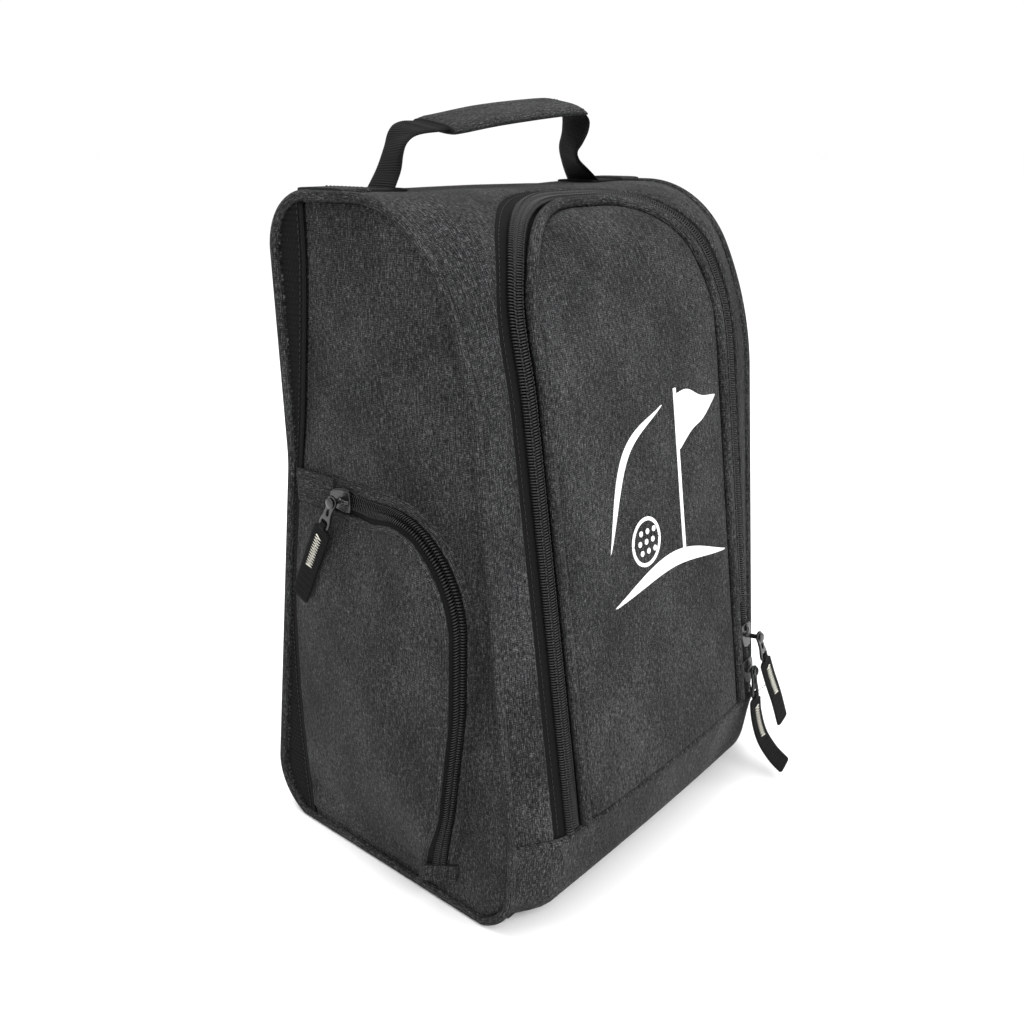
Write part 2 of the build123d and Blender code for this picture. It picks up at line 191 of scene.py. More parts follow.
front_part = rail.s[rail.s <= S_TOP_END]
front_v = (rail.table[: len(front_part), 0] + rail.table[: len(front_part), 1]) / math.sqrt(2)
V_SEAM = float(front_v[0])
V_END = float(front_v[-1])
V_MAX = V_END + S_BACK_SEAM - S_TOP_END


def front_s(v):
    """Distance along the outline for a distance up the 45 degree plane."""
    v = np.asarray(v, float)
    return np.where(v <= V_END, np.interp(v, front_v, front_part), S_TOP_END + v - V_END)


def face_y(outline, z, sign):
    """Y of the front (-1) or back (1) of an outline at a height."""
    table = outline.table[(outline.table[:, 0] * sign > 0) & (outline.table[:, 2] * sign > 0.05)]
    order = np.argsort(table[:, 1])
    return np.interp(z, table[order, 1], table[order, 0])


def bulge(x, z):
    """How far the loaded lower front stands forward."""
    middle = np.clip(1 - (np.asarray(x) / 82.0) ** 2, 0, 1)
    return 2.0 * middle * np.exp(-((np.asarray(z) - 62.0) / 62.0) ** 2)


def side_gap(z):
    """How far the side seam stands back from the front's outline at a height."""
    return np.maximum(face_y(side_rail, z, -1) - face_y(rail, z, -1), 0)


def near_side(x):
    """How near an X is to the side seams, 0 to 1."""
    return smooth(np.abs(x), 88, HALF)


side_part = side_rail.s[side_rail.s <= S_TOP_END - 10]
side_v = (side_rail.table[: len(side_part), 0] + side_rail.table[: len(side_part), 1]) / math.sqrt(2)


def front_point(x, v, off=0.0):
    """A point on the bag's front and top, curved back to the side seams."""
    x, v, off = np.broadcast_arrays(np.asarray(x, float), np.asarray(v, float),
                                    np.asarray(off, float))
    y, z = rail.at(front_s(v), off)
    flat_y, flat_z = rail.at(front_s(v))
    seam_y, seam_z = side_rail.at(np.interp(v, side_v, side_part))
    upper = smooth(flat_z, 150, 220)
    share = near_side(x) * (flat_y < -2)
    y = y + share * ((1 - upper) * side_gap(flat_z) + upper * (seam_y - flat_y))
    z = z + share * upper * (seam_z - flat_z)
    return np.stack([x, y - bulge(x, flat_z) * smooth(-flat_y, 20, 45), z], -1)


def arch_table():
    """The zip's middle line: X, V and the direction out of the door, by distance along it."""
    side = np.linspace(V_SEAM, ARC_CENTRE_V, 160)
    angles = np.linspace(0, math.pi / 2, 140)
    radius = CHAIN_X - ARC_CENTRE_X
    rows = [(CHAIN_X, v, 1.0, 0.0) for v in side]
    rows += [(ARC_CENTRE_X + radius * math.cos(a), ARC_CENTRE_V + radius * math.sin(a),
              math.cos(a), math.sin(a)) for a in angles[1:]]
    rows += [(x, ARC_CENTRE_V + radius, 0.0, 1.0) for x in np.linspace(ARC_CENTRE_X, 0, 30)[1:]]
    right = np.array(rows)
    left = right * np.array([-1, 1, -1, 1])
    table = np.vstack([left, right[-2::-1]])
    length = run_length(front_point(table[:, 0], table[:, 1]))
    return length, table


ARCH_S, ARCH = arch_table()
ARCH_LENGTH = float(ARCH_S[-1])


def zip_xv(t, a):
    """X and V at a distance out from the zip's middle, and the direction outwards."""
    x, v, dx, dv = (np.interp(t, ARCH_S, ARCH[:, k]) for k in range(4))
    size = np.hypot(dx, dv)
    dx, dv = dx / size, dv / size
    slope = (front_s(v + 1.0) - front_s(v - 1.0)) / 2.0
    reach = a / np.hypot(dx, slope * dv)
    return x + dx * reach, v + dv * reach, dx, dv


def zip_point(t, a, h=0.0):
    """A point by distance along the main zip, out from its middle and off the fabric."""
    x, v, _, _ = zip_xv(t, a)
    return front_point(x, v, h)


def zip_frames(t, a=0.0):
    """Origins and along, across and outward directions at places on the main zip."""
    origin = zip_point(t, a)
    along = unit(zip_point(t + 0.8, a) - zip_point(t - 0.8, a))
    out = unit(zip_point(t, a, 2.0) - origin)
    across = unit(np.cross(out, along))
    flip = np.sign(np.sum(across * (zip_point(t, a + 1.0) - origin), -1, keepdims=True))
    return origin, along, across * flip, out


# ---------------------------------------------------------------- meshes

def new_mesh(name, points, faces, loop_uv=None):
    """A smooth-shaded mesh from millimetres, with its weave map in metres."""
    mesh = bpy.data.meshes.new(name)
    mesh.from_pydata((np.asarray(points, float).reshape(-1, 3) * MM).tolist(), [], faces)
    if loop_uv is not None:
        layer = mesh.uv_layers.new(name="weave")
        layer.data.foreach_set("uv", (np.asarray(loop_uv, float) * MM).astype(np.float32).ravel())
    mesh.polygons.foreach_set("use_smooth", np.ones(len(mesh.polygons), dtype=bool))
    mesh.update()
    return mesh


def grid_mesh(name, points, uv=None, wrap=False, caps=False, flip=False):
    """A mesh from rows and columns of points. uv, if given, is by vertex in millimetres."""
    rows, cols = points.shape[:2]
    ids = np.arange(rows * cols).reshape(rows, cols)
    if wrap:
        ids = np.hstack([ids, ids[:, :1]])
    if uv is None:
        closed = np.concatenate([points, points[:, :1]], 1) if wrap else points
        width = np.linalg.norm(np.diff(closed, axis=1), axis=2).mean(0)
        height = np.linalg.norm(np.diff(points, axis=0), axis=2).mean(1)
        u = np.concatenate([[0], np.cumsum(width)])
        v = np.concatenate([[0], np.cumsum(height)])
        uv = np.stack(np.broadcast_arrays(u[None, :], v[:, None]), -1)
    corners = ((0, 0), (0, 1), (1, 1), (1, 0))
    if flip:
        corners = corners[::-1]
    n, m = ids.shape
    faces = np.stack([ids[i:n - 1 + i, j:m - 1 + j] for i, j in corners], -1).reshape(-1, 4)
    loop_uv = np.stack([uv[i:n - 1 + i, j:m - 1 + j] for i, j in corners], -2).reshape(-1, 2)
    faces = faces.tolist()
    if caps:
        first, last = ids[0, :cols].tolist(), ids[-1, :cols].tolist()
        faces.append(first[::-1] if not flip else first)
        faces.append(last if not flip else last[::-1])
        loop_uv = np.vstack([loop_uv, np.tile(loop_uv[:1], (2 * cols, 1))])
    return new_mesh(name, points, faces, loop_uv)


def patch_points(outline, spacing):
    """Triangles filling a closed outline of 2-D points. Gives points, faces and rim indices."""
    rim = resample(np.vstack([outline, outline[:1]]), spacing)[:-1]
    low, high = rim.min(0), rim.max(0)
    inner = []
    for row, q in enumerate(np.arange(low[1], high[1], spacing * 0.866)):
        for p in np.arange(low[0] + (row % 2) * spacing / 2, high[0], spacing):
            inner.append((p, q))
    inner = np.array(inner)
    ahead = np.roll(rim, -1, 0)
    keep = np.zeros(len(inner), bool)
    for k, (p, q) in enumerate(inner):
        cross = (rim[:, 1] > q) != (ahead[:, 1] > q)
        x = rim[:, 0] + (q - rim[:, 1]) * (ahead[:, 0] - rim[:, 0]) / np.where(
            ahead[:, 1] == rim[:, 1], 1e-9, ahead[:, 1] - rim[:, 1])
        inside = np.count_nonzero(cross & (p < x)) % 2 == 1
        clear = np.min(np.hypot(rim[:, 0] - p, rim[:, 1] - q)) > spacing * 0.6
        keep[k] = inside and clear
    points = np.vstack([rim, inner[keep]])
    loop = list(range(len(rim)))
    edges = list(zip(loop, loop[1:] + loop[:1]))
    made = delaunay_2d_cdt([Vector(p) for p in points], edges, [loop], 1, 1e-5)
    flat = np.array([tuple(p) for p in made[0]])
    faces = [list(f) for f in made[2]]
    rim_ids = [k for k, source in enumerate(made[3]) if source and min(source) < len(rim)]
    return flat, faces, rim_ids


def faces_uv(faces, uv):
    """Loop by loop map from a map by vertex."""
    return np.array([uv[i] for face in faces for i in face])


def add_object(name, mesh, *materials):
    """A new object in the scene with its materials."""
    obj = bpy.data.objects.new(name, mesh)
    scene.collection.objects.link(obj)
    for material in materials:
        mesh.materials.append(material)
    return obj


def add_grid(name, points, *materials, **how):
    """A new object from rows and columns of points."""
    return add_object(name, grid_mesh(name, points, **how), *materials)


def add_sweep(name, line, out, profile, material):
    """A new closed band: a profile carried along a line."""
    return add_grid(name, sweep(line, out, profile), material, wrap=True, caps=True)


def join(parts):
    """Several (points, faces) shapes as one."""
    total, points, faces = 0, [], []
    for part, made in parts:
        points.append(part)
        faces += [[i + total for i in face] for face in made]
        total += len(part)
    return np.vstack(points), faces


def settle(obj):
    """Applies an object's modifiers."""
    graph = bpy.context.evaluated_depsgraph_get()
    made = bpy.data.meshes.new_from_object(obj.evaluated_get(graph), depsgraph=graph,
                                           preserve_all_data_layers=True)
    old = obj.data
    obj.modifiers.clear()
    obj.data = made
    bpy.data.meshes.remove(old)
    made.name = obj.name


def get_points(obj):
    """An object's mesh points in millimetres."""
    flat = np.zeros(len(obj.data.vertices) * 3)
    obj.data.vertices.foreach_get("co", flat)
    return flat.reshape(-1, 3) / MM


def set_points(obj, points):
    """Move the vertices of an object."""
    obj.data.vertices.foreach_set("co", (points * MM).ravel())
    obj.data.update()


def refine(obj, levels=1):
    """Subdivides a mesh smoothly."""
    modifier = obj.modifiers.new("fine", "SUBSURF")
    modifier.levels = levels
    modifier.render_levels = levels
    settle(obj)


def thicken(obj, thickness, lining=True):
    """Gives a sheet its thickness, inwards, with the lining's material inside."""
    modifier = obj.modifiers.new("thick", "SOLIDIFY")
    modifier.thickness = thickness * MM
    modifier.offset = -1
    modifier.use_even_offset = False
    modifier.material_offset = 1 if lining else 0
    settle(obj)


def puff(obj, pinned, pressure, most, slack=0.004, bending=1.5, frames=20):
    """Cloth simulation of a padded panel sewn round its edge. The result is applied."""
    rest = get_points(obj)
    group = obj.vertex_groups.new(name="sewn")
    group.add([int(i) for i in pinned], 1.0, "REPLACE")
    modifier = obj.modifiers.new("cloth", "CLOTH")
    cloth = modifier.settings
    cloth.quality = 6
    cloth.mass = 0.25
    cloth.tension_stiffness = 20
    cloth.compression_stiffness = 20
    cloth.shear_stiffness = 10
    cloth.bending_stiffness = bending
    cloth.vertex_group_mass = "sewn"
    cloth.use_pressure = True
    cloth.uniform_pressure_force = pressure
    cloth.shrink_min = -slack
    cloth.effector_weights.gravity = 0
    modifier.collision_settings.use_collision = False
    modifier.point_cache.frame_end = frames
    for number in range(1, frames + 1):
        scene.frame_set(number)
    graph = bpy.context.evaluated_depsgraph_get()
    made = obj.evaluated_get(graph).data
    flat = np.zeros(len(made.vertices) * 3)
    made.vertices.foreach_get("co", flat)
    obj.modifiers.clear()
    obj.vertex_groups.clear()
    scene.frame_set(1)
    move = flat.reshape(-1, 3) / MM - rest
    size = np.linalg.norm(move, axis=1)
    move *= min(1.0, most / max(float(size.max()), 1e-6))
    set_points(obj, rest + move)


def sew(obj, body, slot, *nodes, fill=None):
    """Attaches a piece to the body that it rides on and hides the CAD nodes that it stands for; its
    finish (slot) and its padding (fill) are not used.
    """
    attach(obj, body)
    label(obj, slot, *nodes, fill=fill)
    return obj


def label(obj, slot, *nodes, fill=None):
    """Hides the CAD nodes that a piece stands for; the surface slot and the padding (fill) are not
    used.
    """
    if nodes:
        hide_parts(*nodes)


def stamp(template, faces, origin, along, across, out, scale=None):
    """Copies of a small shape at many places. Template columns are along, across and out."""
    count, size = len(origin), len(template)
    shape = np.broadcast_to(template, (count, size, 3))
    if scale is not None:
        shape = shape * scale[:, None, :]
    points = (origin[:, None, :] + shape[..., :1] * along[:, None, :]
              + shape[..., 1:2] * across[:, None, :] + shape[..., 2:] * out[:, None, :])
    made = []
    for k in range(count):
        made += [[i + k * size for i in face] for face in faces]
    return points.reshape(-1, 3), made


def rod(path, radii, sides=6):
    """A small closed tube along a path: its points and faces."""
    path, radii = np.asarray(path, float), np.asarray(radii, float)
    tangent = unit(np.gradient(path, axis=0))
    side = unit(np.cross(tangent, np.cross(tangent, np.array([1.0, 0.13, 0.07]))))
    other = np.cross(tangent, side)
    angle = np.linspace(0, 2 * math.pi, sides, endpoint=False)
    ring = (np.cos(angle)[None, :, None] * side[:, None] + np.sin(angle)[None, :, None]
            * other[:, None]) * radii[:, None, None]
    points = (path[:, None] + ring).reshape(-1, 3)
    faces = []
    for i in range(len(path) - 1):
        for j in range(sides):
            k = (j + 1) % sides
            faces.append([i * sides + j, i * sides + k, (i + 1) * sides + k, (i + 1) * sides + j])
    last = (len(path) - 1) * sides
    faces.append(list(range(sides))[::-1])
    faces.append([last + j for j in range(sides)])
    return points, faces


def sweep(line, out, profile):
    """A closed profile of (across, out) pairs carried along a line with its outward direction."""
    line = np.asarray(line, float)
    along = unit(np.gradient(line, axis=0))
    across = unit(np.cross(along, np.broadcast_to(out, line.shape)))
    normal = np.cross(across, along)
    profile = np.asarray(profile, float)
    if profile.ndim == 2:
        profile = np.broadcast_to(profile, (len(line),) + profile.shape)
    return (line[:, None] + across[:, None] * profile[..., :1]
            + normal[:, None] * profile[..., 1:])


def oval(width, height, count=12, power=0.75):
    """A rounded flat profile, width by height."""
    angle = np.linspace(0, 2 * math.pi, count, endpoint=False)
    c, s = np.cos(angle), np.sin(angle)
    return np.stack([np.sign(c) * np.abs(c) ** power * width / 2,
                     np.sign(s) * np.abs(s) ** power * height / 2], -1)


# Stitches are collected by body and made into one piece each at the end
SEWING = {}


def stitch(body, line, out, pitch=3.0, length=2.1, radius=0.24, thread="dark", lift=0.1):
    """A row of stitches along a line that lies on the fabric."""
    line = np.asarray(line, float)
    out = np.broadcast_to(out, line.shape)
    total = run_length(line)
    if total[-1] < pitch:
        return
    at = np.arange(pitch / 2, total[-1], pitch)

    def pick(where, table):
        return np.stack([np.interp(where, total, table[:, k]) for k in range(3)], -1)

    origin = pick(at, line)
    along = unit(pick(at + length / 2, line) - pick(at - length / 2, line))
    normal = unit(pick(at, out))
    across = unit(np.cross(normal, along))
    half = length / 2
    path = [(-half, 0, -radius), (-half * 0.6, 0, lift), (0, 0, lift * 1.6),
            (half * 0.6, 0, lift), (half, 0, -radius)]
    shape, faces = rod(path, np.array([0.6, 1, 1.05, 1, 0.6]) * radius, 5)
    points, made = stamp(shape, faces, origin, along, across, np.cross(along, across))
    SEWING.setdefault((body, thread), []).append((points, made))


def stitch_zip(body, t, a, h, *sizes):
    """A row of stitches along the main zip, out from its middle and off the fabric."""
    line = zip_point(t, a, h)
    stitch(body, line, unit(zip_point(t, a, h + 2.0) - line), *sizes)


# ---------------------------------------------------------------- materials

class Shader:
    """Small helper for building one procedural material."""

    def __init__(self, name, rough=0.8, specular=0.3, metallic=0.0):
        self.material = bpy.data.materials.new(name)
        self.material.use_nodes = True
        self.tree = self.material.node_tree
        self.shader = self.tree.nodes["Principled BSDF"]
        self.set("Roughness", rough)
        self.set("Specular IOR Level", specular)
        self.set("Metallic", metallic)
        self.weave = self.node("ShaderNodeUVMap")
        self.weave.uv_map = "weave"

    def set(self, socket, value):
        self.shader.inputs[socket].default_value = value

    def node(self, kind, **values):
        node = self.tree.nodes.new(kind)
        for key, value in values.items():
            setattr(node, key, value)
        return node

    def link(self, source, target):
        self.tree.links.new(source, target)

    def place(self, scale=(1, 1, 1), turn=0.0, solid=False):
        """Coordinates in metres, scaled, from the weave map or the object."""
        mapping = self.node("ShaderNodeMapping")
        mapping.inputs["Scale"].default_value = scale
        mapping.inputs["Rotation"].default_value = (0, 0, turn)
        if solid:
            self.link(self.node("ShaderNodeTexCoord").outputs["Object"], mapping.inputs["Vector"])
        else:
            self.link(self.weave.outputs["UV"], mapping.inputs["Vector"])
        return mapping.outputs["Vector"]

    def noise(self, where, scale=1.0, detail=2.0, rough=0.5):
        node = self.node("ShaderNodeTexNoise")
        node.inputs["Scale"].default_value = scale
        node.inputs["Detail"].default_value = detail
        node.inputs["Roughness"].default_value = rough
        self.link(where, node.inputs["Vector"])
        return node.outputs["Fac"]

    def bands(self, where, axis, scale=1.0, bend=0.0):
        node = self.node("ShaderNodeTexWave", wave_type="BANDS", bands_direction=axis)
        node.inputs["Scale"].default_value = scale
        node.inputs["Distortion"].default_value = bend
        node.inputs["Detail"].default_value = 1.0
        self.link(where, node.inputs["Vector"])
        return node.outputs["Fac"]

    def calc(self, operation, a, b=None, clamp=False):
        node = self.node("ShaderNodeMath", operation=operation, use_clamp=clamp)
        for socket, value in zip(node.inputs, (a, b)):
            if value is None:
                continue
            if isinstance(value, (int, float)):
                socket.default_value = value
            else:
                self.link(value, socket)
        return node.outputs[0]

    def mix(self, *parts):
        """The sum of values, each times its weight."""
        total = None
        for value, weight in parts:
            part = self.calc("MULTIPLY", value, weight)
            total = part if total is None else self.calc("ADD", total, part)
        return total

    def ramp(self, value, stops):
        node = self.node("ShaderNodeValToRGB")
        ramp = node.color_ramp
        while len(ramp.elements) < len(stops):
            ramp.elements.new(0.5)
        for element, (at, colour) in zip(ramp.elements, stops):
            element.position = at
            element.color = (*colour, 1)
        self.link(value, node.inputs["Fac"])
        return node.outputs["Color"]

    def finish(self, colour, height=None, depth=0.2, rough=None):
        """Colour, bump of a depth in millimetres, and roughness from a value."""
        self.link(colour, self.shader.inputs["Base Color"])
        if height is not None:
            bump = self.node("ShaderNodeBump")
            bump.inputs["Strength"].default_value = 0.9
            bump.inputs["Distance"].default_value = depth * MM
            self.link(height, bump.inputs["Height"])
            self.link(bump.outputs["Normal"], self.shader.inputs["Normal"])
        if rough is not None:
            low, high, source = rough
            spread = self.node("ShaderNodeMapRange")
            spread.inputs["To Min"].default_value = low
            spread.inputs["To Max"].default_value = high
            self.link(source, spread.inputs["Value"])
            self.link(spread.outputs["Result"], self.shader.inputs["Roughness"])
        return self.material


def grey(value, tint=0.0):
    """A linear grey with a slight blue (plus) or warm (minus) tint."""
    return (value * (1 - tint), value, value * (1 + tint))


def heather_material():
    """Charcoal melange: dark and light threads with short slubs both ways."""
    s = Shader("heather_weave", specular=0.10)
    warp = s.noise(s.place((2300, 380, 1)), 1.0, 3.0, 0.65)
    weft = s.noise(s.place((430, 2300, 1)), 1.0, 3.0, 0.65)
    slub = s.noise(s.place((1500, 75, 1)), 1.0, 2.0, 0.6)
    fleck = s.noise(s.place((1900, 1700, 1)), 1.0, 1.0)
    cloud = s.noise(s.place((26, 17, 1)), 1.0, 2.0)
    across = s.bands(s.place((1, 1, 1)), "X", 360.0, 0.6)
    down = s.bands(s.place((1, 1, 1)), "Y", 360.0, 0.6)
    weave = s.calc("MULTIPLY", s.calc("ADD", across, down), 0.5)
    mix = s.mix((warp, 0.38), (weft, 0.27), (slub, 0.15), (fleck, 0.15), (weave, 0.05),
                (s.calc("SUBTRACT", cloud, 0.5), 0.10))
    colour = s.ramp(mix, ((0.41, grey(0.003, 0.03)), (0.475, grey(0.011, 0.03)),
                          (0.525, grey(0.029, 0.02)), (0.62, grey(0.12, 0.01))))
    return s.finish(colour, s.mix((weave, 0.6), (warp, 0.5)), 0.16, (0.72, 0.95, fleck))


def black_weave(name, across, down, depth, base=0.0045, top=0.014, turn=0.0):
    """A plain or ribbed black weave of a thread count each way."""
    s = Shader(name, specular=0.08)
    place = s.place((1, 1, 1), turn)
    ribs = s.bands(place, "Y", down, 0.3)
    threads = s.bands(place, "X", across, 0.4)
    dust = s.noise(s.place((900, 900, 1)), 1.0, 3.0)
    height = s.mix((ribs, 0.7), (threads, 0.3))
    mix = s.mix((height, 0.6), (dust, 0.5))
    colour = s.ramp(mix, ((0.25, grey(base * 0.6)), (0.55, grey(base)), (0.9, grey(top))))
    return s.finish(colour, height, depth, (0.62, 0.88, dust))


def solid_material(name, dark, light, rough, specular=0.5, metallic=0.0, grain=700.0,
                   depth=0.03, coat=0.0):
    """Moulded or lacquered stuff with a fine grain and small wear."""
    s = Shader(name, specular=specular, metallic=metallic)
    if coat:
        s.set("Coat Weight", coat)
        s.set("Coat Roughness", 0.25)
    grit = s.noise(s.place((1, 1, 1), solid=True), grain, 4.0)
    cloud = s.noise(s.place((1, 1, 1), solid=True), grain / 9, 2.0)
    colour = s.ramp(s.mix((grit, 0.5), (cloud, 0.5)), ((0.35, dark), (0.65, light)))
    return s.finish(colour, grit, depth, (rough - 0.08, rough + 0.10, grit))


HEATHER = heather_material()
LINING = black_weave("lining_taffeta", 420, 420, 0.05, 0.010, 0.028)
MESH_CLOTH = black_weave("spacer_mesh", 500, 700, 0.10, 0.0045, 0.016)
TAPE = black_weave("zip_tape_twill", 300, 520, 0.10, 0.0035, 0.009, turn=0.5)
WEBBING = black_weave("ribbed_webbing", 400, 260, 0.16, 0.0045, 0.013)
BINDING = black_weave("seam_binding", 300, 700, 0.10, 0.0045, 0.013)
NYLON = solid_material("nylon_coil", grey(0.005), grey(0.010), 0.36, 0.35)
METAL = solid_material("lacquered_zinc", grey(0.018, 0.03), grey(0.035, 0.03), 0.30, 0.6,
                       metallic=0.75, grain=1500.0, depth=0.01, coat=0.4)
DARK_THREAD = solid_material("dark_thread", grey(0.008), grey(0.02), 0.6, 0.4, grain=2500.0)
CREAM_THREAD = solid_material("cream_thread", (0.62, 0.60, 0.52), (0.80, 0.78, 0.70), 0.65, 0.4,
                              grain=2500.0)
PRINT = solid_material("white_print", grey(0.80), grey(0.88), 0.5, 0.4, grain=900.0)
BOARD = solid_material("stiffener_board", grey(0.05), grey(0.065), 0.55, 0.4, grain=400.0)
THREADS = {"dark": DARK_THREAD, "cream": CREAM_THREAD}


# ---------------------------------------------------------------- gusset, base and back

def gusset_reach(t):
    """How far the gusset runs from the zip to the side seam or the back seam, in the X V plane."""
    x, v, dx, dv = zip_xv(t, GUSSET_EDGE)
    side = (HALF - np.abs(x)) / np.maximum(np.abs(dx), 1e-6)
    back = (V_MAX - v) / np.maximum(dv, 1e-6)
    return side, back


dense = np.linspace(0, ARCH_LENGTH, 6000)
to_side, to_back = gusset_reach(dense)
turns = np.nonzero(np.diff(np.sign(to_side - to_back)))[0]
gusset_t = np.unique(np.concatenate([np.linspace(0, ARCH_LENGTH, 236), dense[turns]]))
gx, gv, gdx, gdv = zip_xv(gusset_t, GUSSET_EDGE)
full = np.minimum(*gusset_reach(gusset_t))
near = np.array([0, 0.5, 1.2, 2.4, 3.6, 5.5])
share = np.linspace(0, 1, 14)[1:]
away = np.concatenate([np.broadcast_to(near, (len(full), len(near))),
                       near[-1] + (full[:, None] - near[-1]) * share], 1)
edge_puff = np.interp(away, near, [-0.7, 0.1, 0.45, 0.12, 0.5, 0.7])
seam_dip = 1.3 * np.exp(-((full[:, None] - away) / 2.2) ** 2)
wide = smooth(full, 20, 60)[:, None]
ripple = 0.35 * wide * np.sin(away * 0.21 + gusset_t[:, None] * 0.055) * smooth(away, 4, 14)
gusset_x = gx[:, None] + gdx[:, None] * away
gusset_v = gv[:, None] + gdv[:, None] * away
gusset_points = front_point(gusset_x, gusset_v, edge_puff - seam_dip + ripple)
gusset_uv = np.stack([gusset_x, front_s(gusset_v)], -1)
gusset = add_grid("gusset", gusset_points, HEATHER, LINING, uv=gusset_uv, flip=True)
thicken(gusset, SHELL)
sew(gusset, "root", "shell_fabric", "main_gusset", fill=0.3)

stitch_zip("root", gusset_t, GUSSET_EDGE + 2.4, 0.1, 3.0, 2.2, 0.2)
for sign in (-1, 1):
    seam_v = np.linspace(V_SEAM + 1, V_MAX - 1, 220)
    seam_line = front_point(sign * (HALF - 7.5), seam_v, 0.45)
    seam_out = unit(front_point(sign * (HALF - 7.5), seam_v, 3.0) - seam_line)
    stitch("root", seam_line, seam_out, 3.2, 2.4, 0.2)

# Base: a rolled edge under the door's seam, down the front, under the board and up the back
base_down = np.concatenate([np.array([0, 0.4, 1.0, 2.0, 3.5, 5.5, 8.5]),
                            np.arange(12, rail.total - S_BACK_FOOT, 3.6),
                            [rail.total - S_BACK_FOOT]])
base_x = np.concatenate([[-HALF, -HALF + 1, -HALF + 2.5], np.linspace(-HALF + 6, HALF - 6, 62),
                         [HALF - 2.5, HALF - 1, HALF]])
roll = np.interp(base_down, [0, 0.4, 1.0, 2.0, 3.5, 5.5, 8.5, 16, 34, 60],
                 [-1.4, 0.3, 1.3, 1.9, 2.0, 1.5, 1.0, 0.8, 0.5, 0.0])
puckers = 0.22 * np.sin(base_x[None, :] * 0.83) * np.exp(-((base_down[:, None] - 5) / 5) ** 2)
inset = 1.3 * np.exp(-((HALF - np.abs(base_x[None, :])) / 2.0) ** 2)
by, bz = rail.at(-base_down[:, None] + 0 * base_x[None, :], roll[:, None] + puckers - inset)
forward = bulge(base_x[None, :], bz) - side_gap(bz) * near_side(base_x[None, :])
forward = forward * smooth(-by, 20, 60)
base_points = np.stack([np.broadcast_to(base_x, by.shape), by - forward, np.maximum(bz, 0.05)], -1)
base_uv = np.stack(np.broadcast_arrays(base_x[None, :], -base_down[:, None]), -1)
base = add_grid("base_panel", base_points, HEATHER, LINING, uv=base_uv, flip=True)
thicken(base, SHELL)
sew(base, "root", "shell_fabric", "base_panel", fill=0.3)
for reach in (-1, 1):
    flank = np.linspace(97.0, 110.5, 12) * reach
    y, z = rail.at(np.full(12, -3.2), 2.0)
    stitch("root", np.stack([flank, y, z], -1), (0, -1, 0.1), 2.6, 1.9, 0.24)

back_s = np.linspace(S_BACK_SEAM + 0.3, S_BACK_FOOT - 0.3, 64)
back_x = np.linspace(-HALF, HALF, 52)
back_edge = np.minimum(np.minimum(back_s - back_s[0], back_s[-1] - back_s)[:, None],
                       (HALF - np.abs(back_x))[None, :])
crown = -1.3 * np.exp(-(back_edge / 2.5) ** 2) + 0.9 * smooth(back_edge, 0, 30)
y, z = rail.at(back_s[:, None] + 0 * back_x[None, :], crown)
back_points = np.stack([np.broadcast_to(back_x, y.shape), y, z], -1)
back_uv = np.stack(np.broadcast_arrays(back_x[None, :], back_s[:, None]), -1)
back = add_grid("back_panel", back_points, HEATHER, LINING, uv=back_uv)
puff(back, np.nonzero(back_edge.ravel() < 3.0)[0], 0.8, 2.2)
refine(back)
thicken(back, SHELL)
sew(back, "root", "shell_fabric", "back_panel", fill=0.4)
for s in (S_BACK_SEAM, S_BACK_FOOT):
    for off in (-3.2, 3.2):
        y, z = rail.at(s + off, 0.75)
        y2, z2 = rail.at(s + off, 2.75)
        line = np.array([(x, float(y), float(z)) for x in np.linspace(-HALF + 4, HALF - 4, 60)])
        stitch("root", line, (0, float(y2 - y), float(z2 - z)), 3.2, 2.4, 0.2)

# ---------------------------------------------------------------- sides, mesh and piping

mesh_y = bezier(MESH_LINE[::-1], 1.0)


def mesh_line_y(z):
    """Y of the mesh strip's front edge at a height."""
    return np.interp(z, mesh_y[:, 1], mesh_y[:, 0])


def back_y(z):
    """Y of the back of the bag at a height."""
    return face_y(rail, z, 1)


def dome(count, faces, rim, values, rise):
    """Heights over a patch: the rim's values in between, and a crown of a rise."""
    edges = {tuple(sorted((f[i], f[i - 1]))) for f in faces for i in range(len(f))}
    a, b = np.array(sorted(edges)).T
    degree = np.bincount(np.concatenate([a, b]), minlength=count)
    free = np.ones(count, bool)
    free[rim] = False
    fixed = np.zeros(count)
    fixed[rim] = values
    shape = np.zeros(count)
    for _ in range(2600):
        total = np.bincount(a, fixed[b], count) + np.bincount(b, fixed[a], count)
        fixed = np.where(free, total / degree, fixed)
        total = np.bincount(a, shape[b], count) + np.bincount(b, shape[a], count)
        shape = np.where(free, total / degree + 0.01, 0)
    return fixed + rise * np.power(shape / max(shape.max(), 1e-9), 0.8)


foot = side_rail.find(0, 57.0, side_rail.total - 320, side_rail.total - 120)
top_cross = side_rail.find(0, 31.5, S_TOP_END - 60, S_TOP_END + 60)
around = np.arange(foot - side_rail.total, top_cross, 4.0)
side_y, side_z = side_rail.at(around, -2.0)
side_z = np.maximum(side_z, 2.2)
seam_z = np.linspace(336, 4, 84)
side_rim = np.vstack([np.stack([side_y, side_z], -1),
                      np.stack([mesh_line_y(seam_z), seam_z], -1)])
side_rim = resample(np.vstack([side_rim, side_rim[:1]]), 4.2)[:-1]
side_flat, side_faces, side_rim_ids = patch_points(side_rim, 4.2)
side_height = dome(len(side_flat), side_faces, side_rim_ids, -1.0, 3.2)
behind_pocket = 1 - smooth(side_flat[:, 1], 204, 240)
side_height = side_height * (1 - 0.75 * behind_pocket) - 0.2 * behind_pocket

